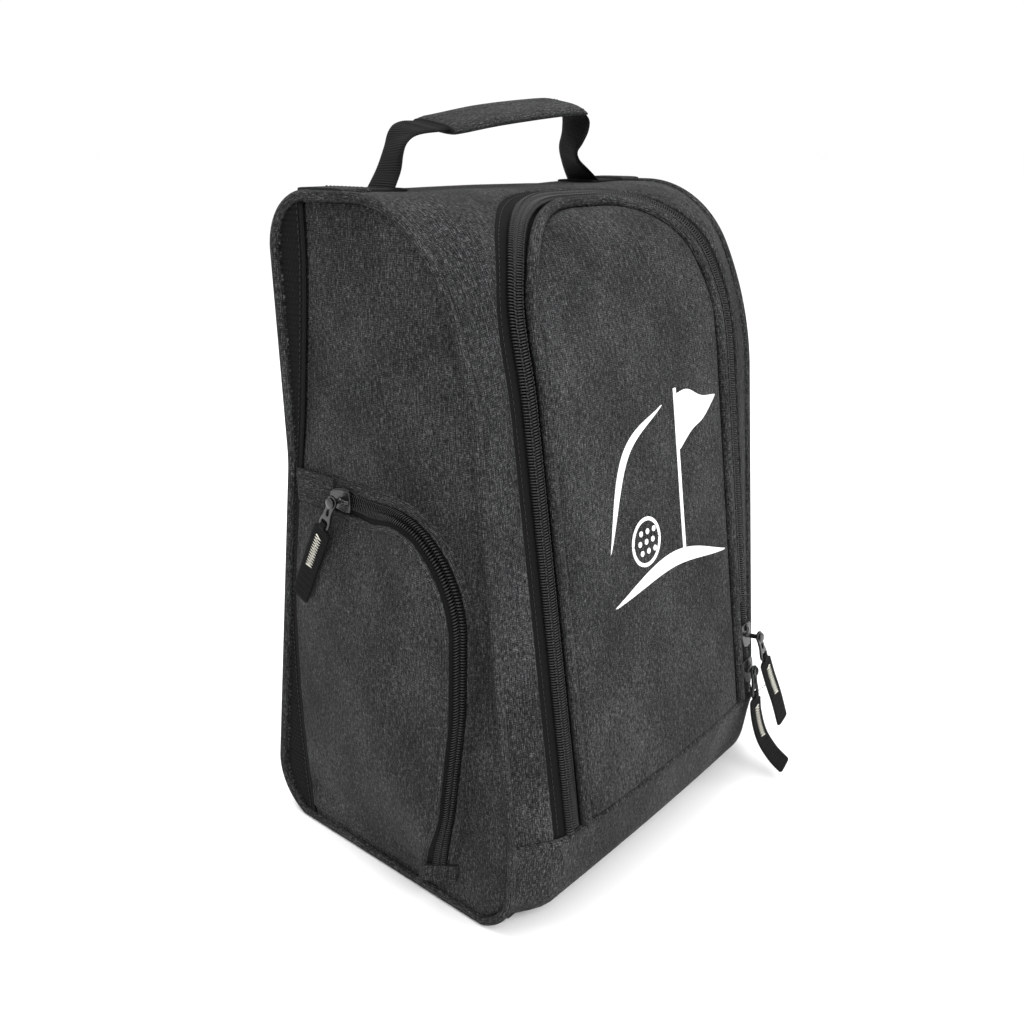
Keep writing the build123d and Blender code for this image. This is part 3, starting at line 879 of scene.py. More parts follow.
strip_z = np.arange(1.4, 337.6, 0.62)
strip_low, strip_high = mesh_line_y(strip_z) - 0.6, back_y(strip_z) - 1.2
strip_share = np.linspace(0, 1, 36)
strip_y = strip_low[:, None] + np.maximum(strip_high - strip_low, 0.05)[:, None] * strip_share
rib = np.cos(2 * math.pi * strip_z[:, None] / 2.5)
knot = np.cos(2 * math.pi * strip_y / 2.4 + math.pi * np.round(strip_z[:, None] / 2.5))
strip_height = -0.9 + 0.34 * rib + 0.30 * knot * (1 + rib) / 2
strip_height += 1.0 * np.sin(math.pi * strip_share)[None, :]

for side, sign in SIDES:
    points = np.stack([sign * (HALF + side_height), side_flat[:, 0], side_flat[:, 1]], -1)
    uv = np.stack([side_flat[:, 0] * sign, side_flat[:, 1]], -1)
    faces = [f if sign > 0 else f[::-1] for f in side_faces]
    panel = add_object(f"{side}_side", new_mesh(f"{side}_side", points, faces,
                                                faces_uv(faces, uv)), HEATHER, LINING)
    puff(panel, side_rim_ids, 0.6, 1.6)
    refine(panel)
    thicken(panel, SHELL)
    sew(panel, "root", "shell_fabric", f"{side}_side_panel", fill=0.4)

    points = np.stack([sign * (HALF + strip_height), strip_y,
                       np.broadcast_to(strip_z[:, None], strip_y.shape)], -1)
    strip_uv = np.stack([strip_y, np.broadcast_to(strip_z[:, None], strip_y.shape)], -1)
    strip = add_grid(f"{side}_mesh", points, MESH_CLOTH, LINING, uv=strip_uv, flip=sign < 0)
    thicken(strip, 2.0)
    sew(strip, "root", "mesh", f"{side}_mesh_strip", fill=0.2)

    heights = np.linspace(3, 336, 300)
    line = np.stack([np.full(300, sign * (HALF + 0.35)), mesh_line_y(heights), heights], -1)
    bind = add_sweep(f"{side}_mesh_binding", line, (sign, 0, 0), oval(2.6, 1.3), BINDING)
    sew(bind, "root", "webbing")
    for shift in (-4.2, 3.4):
        row = line + np.array([sign * (-0.2 if shift > 0 else 0.35), shift, 0])
        keep = row[:, 1] < back_y(row[:, 2]) - 4
        stitch("root", row[keep], (sign, 0, 0), 3.0, 2.2, 0.22)

    round_s = np.linspace(0, side_rail.total, 620)
    angle = np.linspace(0, 2 * math.pi, 14, endpoint=False)
    cord_y, cord_z = side_rail.at(round_s[:, None] + 0 * angle,
                                  -0.2 + PIPING_RADIUS * np.sin(angle)[None, :])
    middle_z = side_rail.at(round_s, -0.2)[1]
    cord_z = cord_z + np.clip(PIPING_RADIUS + 0.05 - middle_z, 0, None)[:, None]
    cord_x = sign * (HALF + 0.3 + PIPING_RADIUS * np.cos(angle))
    points = np.stack([np.broadcast_to(cord_x, cord_y.shape), cord_y, cord_z], -1)
    piping = add_grid(f"{side}_piping_cord", points, HEATHER, wrap=True, flip=sign > 0)
    sew(piping, "root", "shell_fabric", f"{side}_piping")

# ---------------------------------------------------------------- door

door_t = np.concatenate([np.linspace(ARCH_LENGTH / 2, ARCH_LENGTH - 262, 26)[:-1],
                         np.linspace(ARCH_LENGTH - 262, ARCH_LENGTH - 1.6, 56)])[::-1]
door_w, door_v, _, _ = zip_xv(door_t, DOOR_EDGE)
even = np.linspace(-1, 1, 43)
columns = 0.6 * even + 0.4 * np.sin(even * math.pi / 2)
door_x = door_w[:, None] * columns[None, :]
door_vv = np.broadcast_to(door_v[:, None], door_x.shape)
arc_gap = np.hypot(np.clip(np.abs(door_x) - ARC_CENTRE_X, 0, None),
                   np.clip(door_vv - ARC_CENTRE_V, 0, None))
door_radius = float(door_v[-1]) - ARC_CENTRE_V
from_edge = np.where(door_vv > ARC_CENTRE_V, door_radius - arc_gap, door_w[:, None] - np.abs(door_x))
from_edge = np.clip(from_edge, 0, None)
door_height = 0.2 + 2.6 * (1 - np.exp(-from_edge / 2.2)) + 0.6 * smooth(from_edge, 2, 30)
door_points = front_point(door_x, door_vv, door_height)
door_uv = np.stack([door_x, front_s(door_vv)], -1)
door = add_grid("door_panel", door_points, HEATHER, LINING, uv=door_uv)
pinned_door = np.nonzero((from_edge.ravel() < 2.5)
                         | (np.arange(door_x.size) < door_x.shape[1]))[0]
puff(door, pinned_door, 0.8, 2.4)
refine(door)
door_surface = BVHTree.FromObject(door, bpy.context.evaluated_depsgraph_get())
thicken(door, 2.2)


def on_door(obj, slot, *nodes, fill=None):
    """A piece of the door: bakes its transform into its points and hides the CAD nodes that it
    stands for.
    """
    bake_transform(obj)
    label(obj, slot, *nodes, fill=fill)


on_door(door, "shell_fabric", "front_door", fill=0.5)

zip_t = np.linspace(0, ARCH_LENGTH, 430)
door_side_t = np.linspace(1.2, ARCH_LENGTH - 1.2, 426)


def zip_ribbon(name, profile, t, *materials):
    """A closed profile of (out from the zip, off the fabric) pairs carried along the zip."""
    profile = np.asarray(profile, float)
    points = zip_point(t[:, None], profile[None, :, 0], profile[None, :, 1])
    return add_grid(name, points, *materials, wrap=True, caps=True)


ring = np.linspace(0, 2 * math.pi, 16, endpoint=False)
welt_profile = np.stack([-8.5 + 2.7 * np.cos(ring), 1.7 + 2.9 * np.sin(ring)], -1)
welt = zip_ribbon("door_welt", welt_profile, door_side_t, HEATHER)
on_door(welt, "shell_fabric", "door_welt")


def flat_profile(low, high, top, thick):
    """A flat band's outline: across the zip, then off the fabric."""
    inner = np.linspace(low, high, 7)
    return np.vstack([np.stack([inner, np.full(7, top)], -1),
                      np.stack([inner[::-1], np.full(7, top - thick)], -1)])


outer_tape = zip_ribbon("zip_outer_tape", flat_profile(2.2, 16.0, -0.55, 0.8), zip_t, TAPE)
sew(outer_tape, "root", "zip_tape", "main_zip_outer_tape")
park_t = ARCH_LENGTH - (PARK_HEIGHT - 54.0) / 0.9955
tape_t = door_side_t[door_side_t < park_t + 6]
inner_tape = zip_ribbon("zip_inner_tape", flat_profile(-9.6, -2.2, -0.55, 0.8), tape_t, TAPE)
on_door(inner_tape, "zip_tape", "main_zip_inner_tape")

# ---------------------------------------------------------------- printed motif

def crescent(first, middle, last, width):
    """A curved stroke in X and Z, thickest in the middle and pointed at both ends."""
    line = resample(bezier([first, middle, last], 1.5), 1.5)
    along = unit(np.gradient(line, axis=0))
    side = np.stack([-along[:, 1], along[:, 0]], -1)
    half = width / 2 * np.sin(math.pi * np.linspace(0.02, 0.98, len(line)))[:, None]
    return np.vstack([line + side * half, (line - side * half)[::-1]])


def circle(x, y, rx, ry=None, count=20):
    """A round or oval outline."""
    angle = np.linspace(0, 2 * math.pi, count, endpoint=False)
    return np.stack([x + rx * np.cos(angle), y + (ry or rx) * np.sin(angle)], -1)


def print_shape(outline, spacing):
    """A closed X Z outline laid on the door as a thin raised print: points and faces."""
    flat, faces, _ = patch_points(outline, spacing)
    landed = []
    for x, z in flat:
        spot, normal, _, _ = door_surface.ray_cast(Vector((x * MM, -0.4, z * MM)), Vector((0, 1, 0)))
        landed.append((*(spot / MM), *normal))
    landed = np.array(landed)
    count = len(flat)
    points = np.vstack([landed[:, :3] + landed[:, 3:] * 0.28, landed[:, :3] - landed[:, 3:] * 0.1])
    made = [list(face) for face in faces] + [[i + count for i in face[::-1]] for face in faces]
    sides = {(a, b) for face in faces for a, b in zip(face, face[1:] + face[:1])}
    made += [[b, a, a + count, b + count] for a, b in sides if (b, a) not in sides]
    return points, made


# A golf flag over a green, with a ball and its flight
POLE_X = 24.0
FLAG = np.vstack([bezier([(POLE_X + 1.2, 243), (36, 243.5), (49, 238), (64, 236)], 2.0),
                  bezier([(62, 234), (50, 226), (38, 222), (POLE_X + 1.2, 214)], 2.0)])
POLE = np.array([(POLE_X - 1.3, 156), (POLE_X + 1.3, 156), (POLE_X + 1.3, 246),
                 (POLE_X - 1.3, 246)], float)
motif_shapes = [(FLAG, 2.4), (POLE, 1.3),
                (crescent((-40, 151), (14, 160), (66, 150), 8.0), 2.0),
                (crescent((-40, 178), (-22, 222), (12, 240), 5.0), 1.6)]
BALL_X, BALL_Z = -10.0, 176.0
for start in (0, math.pi):
    angle = np.linspace(start, start + math.pi, 40)[:, None]
    ray = np.concatenate([np.cos(angle), np.sin(angle)], 1)
    motif_shapes.append((np.vstack([ray * 12.5, ray[::-1] * 10.6]) + (BALL_X, BALL_Z), 1.2))
for row in (-1, 0, 1):
    for column in (-1, 0, 1):
        centre = (BALL_X + column * 5.6 + (row % 2) * 2.8 - 1.4 * (row != 0), BALL_Z + row * 5.0)
        motif_shapes.append((circle(*centre, 1.5, count=14), 0.8))
motif_points, motif_faces = join([print_shape(*shape) for shape in motif_shapes])
motif = add_object("door_motif", new_mesh("door_motif", motif_points, motif_faces), PRINT)
sew(motif, "front_door", "shell_fabric")

# ---------------------------------------------------------------- zip teeth

TOOTH_PATH = np.array([(0.42, 4.15, -0.9), (0.38, 4.35, 0.3), (0.30, 3.9, 1.3), (0.16, 2.9, 1.65),
                       (-0.08, 1.6, 1.7), (-0.28, 0.6, 1.35), (-0.38, -0.1, 0.6),
                       (-0.34, -0.1, -0.3), (-0.16, 1.2, -1.1)])
TOOTH_SIZE = np.array([0.30, 0.36, 0.38, 0.38, 0.38, 0.42, 0.46, 0.38, 0.28])


def teeth(name, origin, along, across, out, side, size=1.0):
    """A row of coil on one side of a chain, as loops of thick nylon."""
    path = TOOTH_PATH * np.array([1, side, 1]) * size
    shape, faces = rod(path, TOOTH_SIZE * size, 6)
    if side < 0:
        faces = [f[::-1] for f in faces]
    points, made = stamp(shape, faces, origin, along, across, out)
    return add_object(name, new_mesh(name, points, made), NYLON)


PITCH = 1.3
outer_at = np.arange(1.0, ARCH_LENGTH - 0.5, PITCH)
teeth_obj = teeth("zip_outer_coil", *zip_frames(outer_at), 1)
sew(teeth_obj, "root", "zip_coil", "main_zip_outer_coil")
inner_at = np.arange(2.0 + PITCH / 2, park_t, PITCH)
teeth_obj = teeth("zip_inner_coil", *zip_frames(inner_at), -1)
on_door(teeth_obj, "zip_coil", "main_zip_inner_coil")
for a, body, t in ((2.6, "root", zip_t[2:-2]), (-2.6, "front_door", tape_t[12:-4])):
    stitch_zip(body, t, a, 1.95, 2.0, 1.5, 0.22, "dark", 0.3)
stitch_zip("root", zip_t[1:-1], 8.5, -0.5, 3.0, 2.2, 0.16)

# ---------------------------------------------------------------- side pockets

pocket = Rail(POCKET_CORNERS, (44.5, 211.0))
ZIP_TOP = pocket.find(0, 20.0, 2, 60)
ZIP_FOOT = pocket.find(1, 26.0, 200, 350)
BAND = 15.8                     # width of the pocket's zip band
POCKET_CHAIN = 8.3


def band_point(sign, p, b, h=0.0):
    """A point on the pocket's zip band: along it, across from the panel, and off it."""
    p, b, h = np.broadcast_arrays(np.asarray(p, float), np.asarray(b, float), np.asarray(h, float))
    y0, z0 = pocket.at(p)
    turn = smooth(-y0, -9.0, 50.0) * (0.5 + 0.5 * smooth(z0, 20.0, 66.0))
    angle = np.radians(3.0 + 76.0 * turn)
    inset = 0.6 + b * np.cos(angle) - h * np.sin(angle)
    depth = 0.3 + b * np.sin(angle) + h * np.cos(angle)
    y, z = pocket.at(p, -inset)
    return np.stack([sign * (HALF + depth), y, z], -1)


def band_frames(sign, p, b=POCKET_CHAIN):
    """Origins and along, across and outward directions at places on a pocket's zip."""
    origin = band_point(sign, p, b)
    along = unit(band_point(sign, p + 0.7, b) - band_point(sign, p - 0.7, b))
    across = band_point(sign, p, b + 1.0) - origin
    out = unit(band_point(sign, p, b, 1.0) - origin)
    across = unit(across - along * np.sum(across * along, -1, keepdims=True))
    return origin, along, across, out


def band_ribbon(name, sign, profile, p, *materials):
    """A closed band that follows a pocket's zip."""
    profile = np.asarray(profile, float)
    points = band_point(sign, p[:, None], profile[None, :, 0], profile[None, :, 1])
    return add_grid(name, points, *materials, wrap=True, caps=True, flip=sign > 0)


# The face runs from the zip to the mesh line and the pocket's foot
band_p = np.linspace(ZIP_TOP - 1.5, ZIP_FOOT + 1.0, 220)
edge_right = band_point(1, band_p, BAND, 0.9)
foot_front = edge_right[-1]
foot_z = 8.5
down_y = np.linspace(foot_front[1], foot_front[1] + 5.0, 6)[1:]
down_z = np.linspace(foot_front[2], foot_z, 6)[1:]
down_x = HALF + np.linspace(foot_front[0] - HALF, 2.0, 6)[1:]
bottom_y = np.linspace(down_y[-1], mesh_line_y(foot_z) - 0.6, 40)[1:]
bottom = np.stack([np.full(39, HALF + 0.9), bottom_y, np.full(39, foot_z)], -1)
up_z = np.linspace(foot_z, edge_right[0, 2], 60)[1:]
up = np.stack([np.full(59, HALF + 0.8), mesh_line_y(up_z) - 0.6, up_z], -1)
across_y = np.linspace(mesh_line_y(edge_right[0, 2]) - 0.6, edge_right[0, 1], 8)[1:-1]
across_top = np.stack([np.full(6, edge_right[0, 0]), across_y, np.full(6, edge_right[0, 2])], -1)
face_rim = np.vstack([edge_right, np.stack([down_x, down_y, down_z], -1), bottom, up, across_top])
face_rim = resample(np.vstack([face_rim, face_rim[:1]]), 3.6)[:-1]
face_flat, face_faces, face_rim_ids = patch_points(face_rim[:, 1:], 3.6)
nearest = [int(np.argmin(np.hypot(*(face_rim[:, 1:] - face_flat[i]).T))) for i in face_rim_ids]
face_depth = dome(len(face_flat), face_faces, face_rim_ids, face_rim[nearest, 0] - HALF, 4.6)
# Crease above the foot, where the full face folds over its seam
crease = np.exp(-((face_flat[:, 1] - 20 - 0.06 * (face_flat[:, 0] + 50)) / 4.5) ** 2)
crease *= smooth(face_flat[:, 0], -58, -35)
free_face = np.ones(len(face_flat), bool)
free_face[face_rim_ids] = False
face_depth = face_depth - 1.6 * crease * free_face

for side, sign in SIDES:
    points = np.stack([sign * (HALF + face_depth), face_flat[:, 0], face_flat[:, 1]], -1)
    uv = np.stack([face_flat[:, 0] * sign, face_flat[:, 1]], -1)
    faces = [f if sign > 0 else f[::-1] for f in face_faces]
    face = add_object(f"{side}_pocket_front", new_mesh(f"{side}_pocket_front", points, faces,
                                                       faces_uv(faces, uv)), HEATHER, LINING)
    puff(face, face_rim_ids, 1.2, 2.6, 0.008)
    refine(face)
    thicken(face, 2.0)
    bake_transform(face)
    label(face, "shell_fabric", f"{side}_pocket_face", f"{side}_pocket_fixed_face", fill=0.5)

    zip_run = np.linspace(ZIP_TOP - 2, ZIP_FOOT + 3, 220)
    hem_t = np.linspace(band_p[0], band_p[-1], 240)
    turn = np.linspace(0, 2 * math.pi, 12, endpoint=False)
    hem_profile = np.stack([BAND + 0.2 + 1.5 * np.cos(turn), 0.75 + 1.15 * np.sin(turn)], -1)
    hem = band_ribbon(f"{side}_pocket_hem", sign, hem_profile, hem_t, HEATHER)
    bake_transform(hem)
    label(hem, "shell_fabric")

    wall = band_ribbon(f"{side}_pocket_wall", sign, flat_profile(-1.2, 4.4, 0.95, 0.8),
                       zip_run, HEATHER)
    sew(wall, "root", "shell_fabric")
    outer = band_ribbon(f"{side}_pocket_outer_tape", sign, flat_profile(1.0, 7.0, 0.1, 0.6),
                        zip_run, TAPE)
    sew(outer, "root", "zip_tape", f"{side}_pocket_zip_outer_tape")
    inner = band_ribbon(f"{side}_pocket_inner_tape", sign, flat_profile(9.6, 16.6, 0.5, 0.7),
                        zip_run, TAPE)
    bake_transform(inner)
    label(inner, "zip_tape", f"{side}_pocket_zip_inner_tape")
    outer_p = np.arange(ZIP_TOP, ZIP_FOOT + 1, 1.45)
    row = teeth(f"{side}_pocket_outer_coil", *band_frames(sign, outer_p), -1, 0.86)
    sew(row, "root", "zip_coil", f"{side}_pocket_zip_outer_coil")
    row = teeth(f"{side}_pocket_inner_coil", *band_frames(sign, outer_p + 0.72), 1, 0.86)
    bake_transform(row)
    label(row, "zip_coil", f"{side}_pocket_zip_inner_coil")

    y = np.linspace(19.0, 46.5, 26)
    cover = np.stack([np.full(26, sign * (HALF + 1.5)), y, np.full(26, 203.0)], -1)
    patch = add_sweep(f"{side}_pocket_top_patch", cover, (sign, 0, 0),
                      oval(17.0, 3.0, 20, 0.45), HEATHER)
    sew(patch, "root", "shell_fabric", f"{side}_pocket_top_tab")
    foot_p = np.linspace(ZIP_FOOT - 1.0, ZIP_FOOT + 9.5, 16)
    foot_profile = oval(19.0, 2.6, 18, 0.5) + np.array([8.0, 0.9])
    patch = band_ribbon(f"{side}_pocket_foot_patch", sign, foot_profile, foot_p, HEATHER)
    sew(patch, "root", "shell_fabric", f"{side}_pocket_bottom_tab")
    seam = band_point(sign, band_p[4:-4], 3.2, 1.0)
    seam_out = unit(band_point(sign, band_p[4:-4], 3.2, 3.0) - seam)
    stitch("root", seam, seam_out, 3.0, 2.1, 0.18)
    for height in (197.5, 208.5):
        line = np.stack([np.full(20, sign * (HALF + 3.0)), np.linspace(20.5, 45.5, 20),
                         np.full(20, height)], -1)
        stitch("root", line, (sign, 0, 0), 2.6, 1.9, 0.2)


# ---------------------------------------------------------------- sliders, pullers and tabs

class Place:
    """A spot on a zip: X across, Y along, Z off the bag, in millimetres."""

    def __init__(self, origin, x_dir, z_dir):
        self.origin = np.array(origin, float)
        self.x = unit(np.array(x_dir, float))
        self.z = unit(np.array(z_dir, float))
        self.y = np.cross(self.z, self.x)

    def map(self, points):
        p = np.asarray(points, float)
        return self.origin + p[..., :1] * self.x + p[..., 1:2] * self.y + p[..., 2:] * self.z


def plate(loops, thick, bevel, height):
    """A flat metal plate with holes and rounded edges, as points and faces."""
    curve = bpy.data.curves.new("plate", "CURVE")
    curve.dimensions = "2D"
    curve.fill_mode = "BOTH"
    curve.extrude = thick / 2 - bevel
    curve.bevel_depth = bevel
    curve.bevel_resolution = 2
    curve.offset = -bevel
    for loop in loops:
        spline = curve.splines.new("POLY")
        spline.points.add(len(loop) - 1)
        spline.use_cyclic_u = True
        for point, (x, y) in zip(spline.points, loop):
            point.co = (x, y, 0, 1)
    obj = bpy.data.objects.new("plate", curve)
    scene.collection.objects.link(obj)
    graph = bpy.context.evaluated_depsgraph_get()
    made = bpy.data.meshes.new_from_object(obj.evaluated_get(graph), depsgraph=graph)
    points = np.array([v.co for v in made.vertices]).reshape(-1, 3) + np.array([0, 0, height])
    faces = [list(f.vertices) for f in made.polygons]
    bpy.data.objects.remove(obj)
    bpy.data.curves.remove(curve)
    bpy.data.meshes.remove(made)
    return points, faces


def lathe(profile, count=20):
    """A round solid about the place's Z from (radius, height) pairs."""
    profile = np.asarray(profile, float)
    angle = np.linspace(0, 2 * math.pi, count, endpoint=False)
    ring = np.stack([np.cos(angle), np.sin(angle)], -1)
    points = np.concatenate([profile[:, None, :1] * ring[None],
                             np.broadcast_to(profile[:, None, 1:], (len(profile), count, 1))], -1)
    ids = np.arange(len(profile) * count).reshape(len(profile), count)
    faces = []
    for i in range(len(profile) - 1):
        for j in range(count):
            k = (j + 1) % count
            faces.append([int(ids[i, j]), int(ids[i, k]), int(ids[i + 1, k]), int(ids[i + 1, j])])
    faces.append(ids[0].tolist()[::-1])
    faces.append(ids[-1].tolist())
    return points.reshape(-1, 3), faces


def build(name, place, parts, mirror, *materials):
    """One piece from several local shapes, mirrored across X for the left side."""
    points, faces = join(parts)
    points = place.map(points)
    if mirror:
        points = points * MIRROR
        faces = [f[::-1] for f in faces]
    return add_object(name, new_mesh(name, points, faces), *materials)


SHIELD = [(-4.2, 7.0), (4.2, 7.0), (5.4, 5.6), (5.5, 1.5), (4.6, -3.5), (3.4, -6.3), (2.4, -7.0),
          (-2.4, -7.0), (-3.4, -6.3), (-4.6, -3.5), (-5.5, 1.5), (-5.4, 5.6)]
PULL_SIDE = [(1.7, 3.3), (2.7, 2.3), (3.0, 0.6), (2.6, -2.0), (2.3, -5.0), (2.5, -8.0),
             (3.2, -10.6), (3.5, -12.6), (3.5, -14.6), (2.8, -15.5)]
PULL_THICK = 1.5
BAR_Y = -14.75  # middle of the pull's end bar


def round_loop(points):
    """A closed loop with softened corners."""
    p = np.asarray(points, float)
    for _ in range(2):
        nxt = np.roll(p, -1, 0)
        p = np.stack([0.78 * p + 0.22 * nxt, 0.22 * p + 0.78 * nxt], 1).reshape(-1, 2)
    return p


def slider_parts(proud, sunk, lift):
    """A slider's plates, side lips and the rivet that its puller turns on."""
    top = proud + 0.4
    parts = [plate([round_loop(SHIELD)], 1.3, 0.35, top + 0.65)]
    if sunk:
        parts.append(plate([round_loop(SHIELD)], 1.2, 0.3, -sunk - 1.0))
    for x in (-1, 1):
        lip = bezier([(x * 5.1, 5.2, top - 0.3), (x * 5.2, 1.5, top - 0.5),
                      (x * 4.4, -3.2, top - 0.5), (x * 3.5, -5.8, top - 0.3)], 0.8)
        parts.append(rod(lip, np.full(len(lip), 0.62), 8))
    ridge = bezier([(0, 6.4, top + 1.2), (0, 4.6, top + 2.0), (0, 2.6, top + 1.5)], 0.6)
    parts.append(rod(ridge, np.linspace(0.9, 1.3, len(ridge)), 8))
    head = lift + PULL_THICK + 0.4
    parts.append(lathe([(1.9, top + 1.2), (1.35, top + 1.7), (1.3, head), (2.5, head + 0.1),
                        (2.75, head + 0.5), (2.3, head + 0.85), (1.2, head + 1.0),
                        (0.05, head + 1.02)]))
    neck = plate([circle(0, 0, 0.45, 4.0)], max(1.0, proud + max(sunk, 0) + 0.6), 0.1,
                 (proud - sunk) / 2)
    parts.append(neck)
    return parts


def puller_parts(lift):
    """A flat metal pull with an eye, a window and a slot over its end bar."""
    outline = PULL_SIDE + [(-x, y) for x, y in PULL_SIDE[::-1]]
    slot = round_loop([(-2.1, -14.0), (2.1, -14.0), (2.1, -11.2), (-2.1, -11.2)])
    return [plate([round_loop(outline), circle(0, 0, 1.65), circle(0, -6.3, 0.95, 2.2), slot],
                  PULL_THICK, 0.38, lift + PULL_THICK / 2)]


def tab_parts(lift, line):
    """A folded webbing tab: a narrow loop round the bar and a ribbed strip along a line."""
    middle = lift + PULL_THICK / 2
    loop = bezier([(0, -17.6, middle + 0.45), (0, -16.2, middle + 1.15), (0, BAR_Y, middle + 1.5),
                   (0, -13.6, middle + 1.05), (0, -13.2, middle), (0, -13.6, middle - 1.05),
                   (0, BAR_Y, middle - 1.5), (0, -16.2, middle - 1.15), (0, -17.6, middle - 0.45)],
                  0.3)
    band = sweep(loop, (1, 0, 0), oval(0.75, 3.6, 10, 0.6))
    centre = resample(bezier(line), 0.3)
    far = run_length(centre)
    ribs = 0.15 * np.cos(2 * math.pi * far / 1.6)
    grow = smooth(far, 0, 2.6)
    end = 1 - 0.25 * smooth(far, far[-1] - 0.5, far[-1])
    shape = oval(1.0, 1.0, 16, 0.42)
    profile = np.stack([shape[None, :, 0] * (4.6 + 6.8 * grow * end)[:, None],
                        shape[None, :, 1] * (1.35 + 0.35 * grow + 2 * ribs)[:, None]], -1)
    strip = sweep(centre, (0, 0, 1), profile)
    return centre, band, strip


def zigzag(centre, start, stop, thick):
    """The cream bar tack's path over the outer side of a tab."""
    far = run_length(centre)
    at = np.arange(start, stop, 0.85)
    pick = np.stack([np.interp(at, far, centre[:, k]) for k in range(3)], -1)
    along = unit(np.gradient(pick, axis=0))
    across = unit(np.cross(along, np.broadcast_to((0.0, 0.0, 1.0), along.shape)))
    out = np.cross(across, along)
    swing = 1.9 * np.where(np.arange(len(at)) % 2, 1, -1)[:, None]
    line = pick + across * swing + out * (thick / 2 + 0.14)
    return rod(line, np.full(len(line), 0.42), 6)


def add_pull(prefix, body, slider_place, pull_place, proud, sunk, lift, line, mirror=False):
    """A slider, its puller and its webbing tab, each on its own body."""
    obj = build(f"{prefix}_zip_slider", slider_place, slider_parts(proud, sunk, lift), mirror,
                METAL)
    sew(obj, f"{body}_slider", "zip_metal", f"{body}_slider")
    obj = build(f"{prefix}_zip_puller", pull_place, puller_parts(lift), mirror, METAL)
    sew(obj, f"{body}_puller", "zip_metal", f"{body}_puller")
    centre, band, strip = tab_parts(lift, line)
    sections = []
    for name, points in (("loop", band), ("tab", strip)):
        world = pull_place.map(points)
        if mirror:
            world = world * MIRROR
        sections.append(add_grid(f"{prefix}_webbing_{name}", world, WEBBING, wrap=True,
                                 caps=True, flip=mirror))
    sew(sections[1], f"{body}_pull_tab", "webbing", f"{body}_pull_tab")
    sew(sections[0], f"{body}_pull_tab", "webbing")
    tack = build(f"{prefix}_bar_tack", pull_place, [zigzag(centre, 6.0, 27.0, 1.7)], mirror,
                 CREAM_THREAD)
    sew(tack, f"{body}_pull_tab", "webbing")


SLANT = math.atan2(25.9, 186.0)
FRONT_OUT = (0, -math.cos(SLANT), math.sin(SLANT))
LOWER_HEIGHT, UPPER_HEIGHT = 70.0, 92.0
LOW_PULL, HIGH_PULL = 6.4, 10.95  # how far the pulls stand off the chain
for name, node, height, lift, aside, line in (
    ("lower_pull", "main_lower", LOWER_HEIGHT, LOW_PULL, 0.0,
     [(0, -15.9, 7.15), (0.2, -28, 7.3), (2.2, -42, 9.2), (6.0, -54, 13.5), (10.0, -63, 19.0)]),
    ("upper_pull", "main_upper", UPPER_HEIGHT, HIGH_PULL, 18.0,
     [(0, -15.9, 11.7), (0, -30, 12.2), (0.3, -46, 13.2), (0.4, -64, 13.4)]),
):
    y = SEAM_POINT[0] + (height - SEAM_POINT[1]) * math.tan(SLANT)
    flat = Place((CHAIN_X, y, height), (1, 0, 0), FRONT_OUT)
    turn = math.radians(aside)
    lean = Place((CHAIN_X, y, height), math.cos(turn) * flat.x + math.sin(turn) * flat.y, FRONT_OUT)
    add_pull(name, node, flat, lean, 2.0, 1.6, lift, line)

lean = math.radians(28.0)  # the pocket pulls hang forward of the chain
chain_point = (HALF, 13.0, 202.7)
on_zip = Place(chain_point, (0, 0, 1), (1, 0, 0))
hang = Place(chain_point, (0, math.cos(lean), math.sin(lean)), (1, 0, 0))
for side, mirror in (("left", True), ("right", False)):
    add_pull(f"{side}_pocket_pull", f"{side}_pocket", on_zip, hang, 2.6, 0, 8.4,
             [(0, -15.9, 9.15), (0, -28, 9.3), (0.2, -44, 9.0), (0.4, -65, 8.4)], mirror)

# ---------------------------------------------------------------- handle

REAR_EDGE = [(-73, 341.4), (-66.5, 350), (-61.5, 359), (-58, 366.5), (-51.5, 370.3), (-35, 371.2),
             (3, 377), (44, 381), (64, 381.6), (73.5, 377.5), (74.5, 368), (72, 359),
             (75.5, 349.5), (80.5, 341.4)]
FRONT_EDGE = [(-79.5, 341.4), (-75, 349.5), (-73, 357), (-70, 361.8), (-63, 365), (-47, 366.6),
              (-35, 367.6), (-5, 371.6), (40, 376.2), (57, 377), (65.5, 373.3), (65.5, 367.5),
              (60.5, 361), (56, 356.5), (58.5, 351.5), (68, 346.5), (76.5, 341.4)]
HANDLE_Y = 20.0
STRAP_HALF = 12.5
EDGE_STEPS = 1200


def handle_edges(count):
    """Matching points (X, Z) along the strap's front and rear edges."""
    edges = []
    for edge in (FRONT_EDGE, REAR_EDGE):
        line = bezier(edge, 0.5)
        far = run_length(line) / run_length(line)[-1]
        at = np.linspace(0, 1, count)
        edges.append(np.stack([np.interp(at, far, line[:, 0]), np.interp(at, far, line[:, 1])], -1))
    return edges


def handle_surface(count, half_width, low=0.0, high=1.0, across=13):
    """The strap's middle surface as rows of points, widened to a half width."""
    pick = np.linspace(low, high, count) * (EDGE_STEPS - 1)
    share = np.linspace(-1, 1, across)
    front, rear = (np.stack([np.interp(pick, np.arange(EDGE_STEPS), edge[:, k]) for k in (0, 1)], -1)
                   for edge in handle_edges(EDGE_STEPS))
    t = (share * half_width / STRAP_HALF + 1) / 2
    xz = front[:, None] * (1 - t)[None, :, None] + rear[:, None] * t[None, :, None]
    y = np.broadcast_to(HANDLE_Y + share * half_width, xz.shape[:2])
    surface = np.stack([xz[..., 0], y, xz[..., 1]], -1)
    down = np.gradient(surface, axis=0)
    over = np.gradient(surface, axis=1)
    return surface, unit(np.cross(down, over))


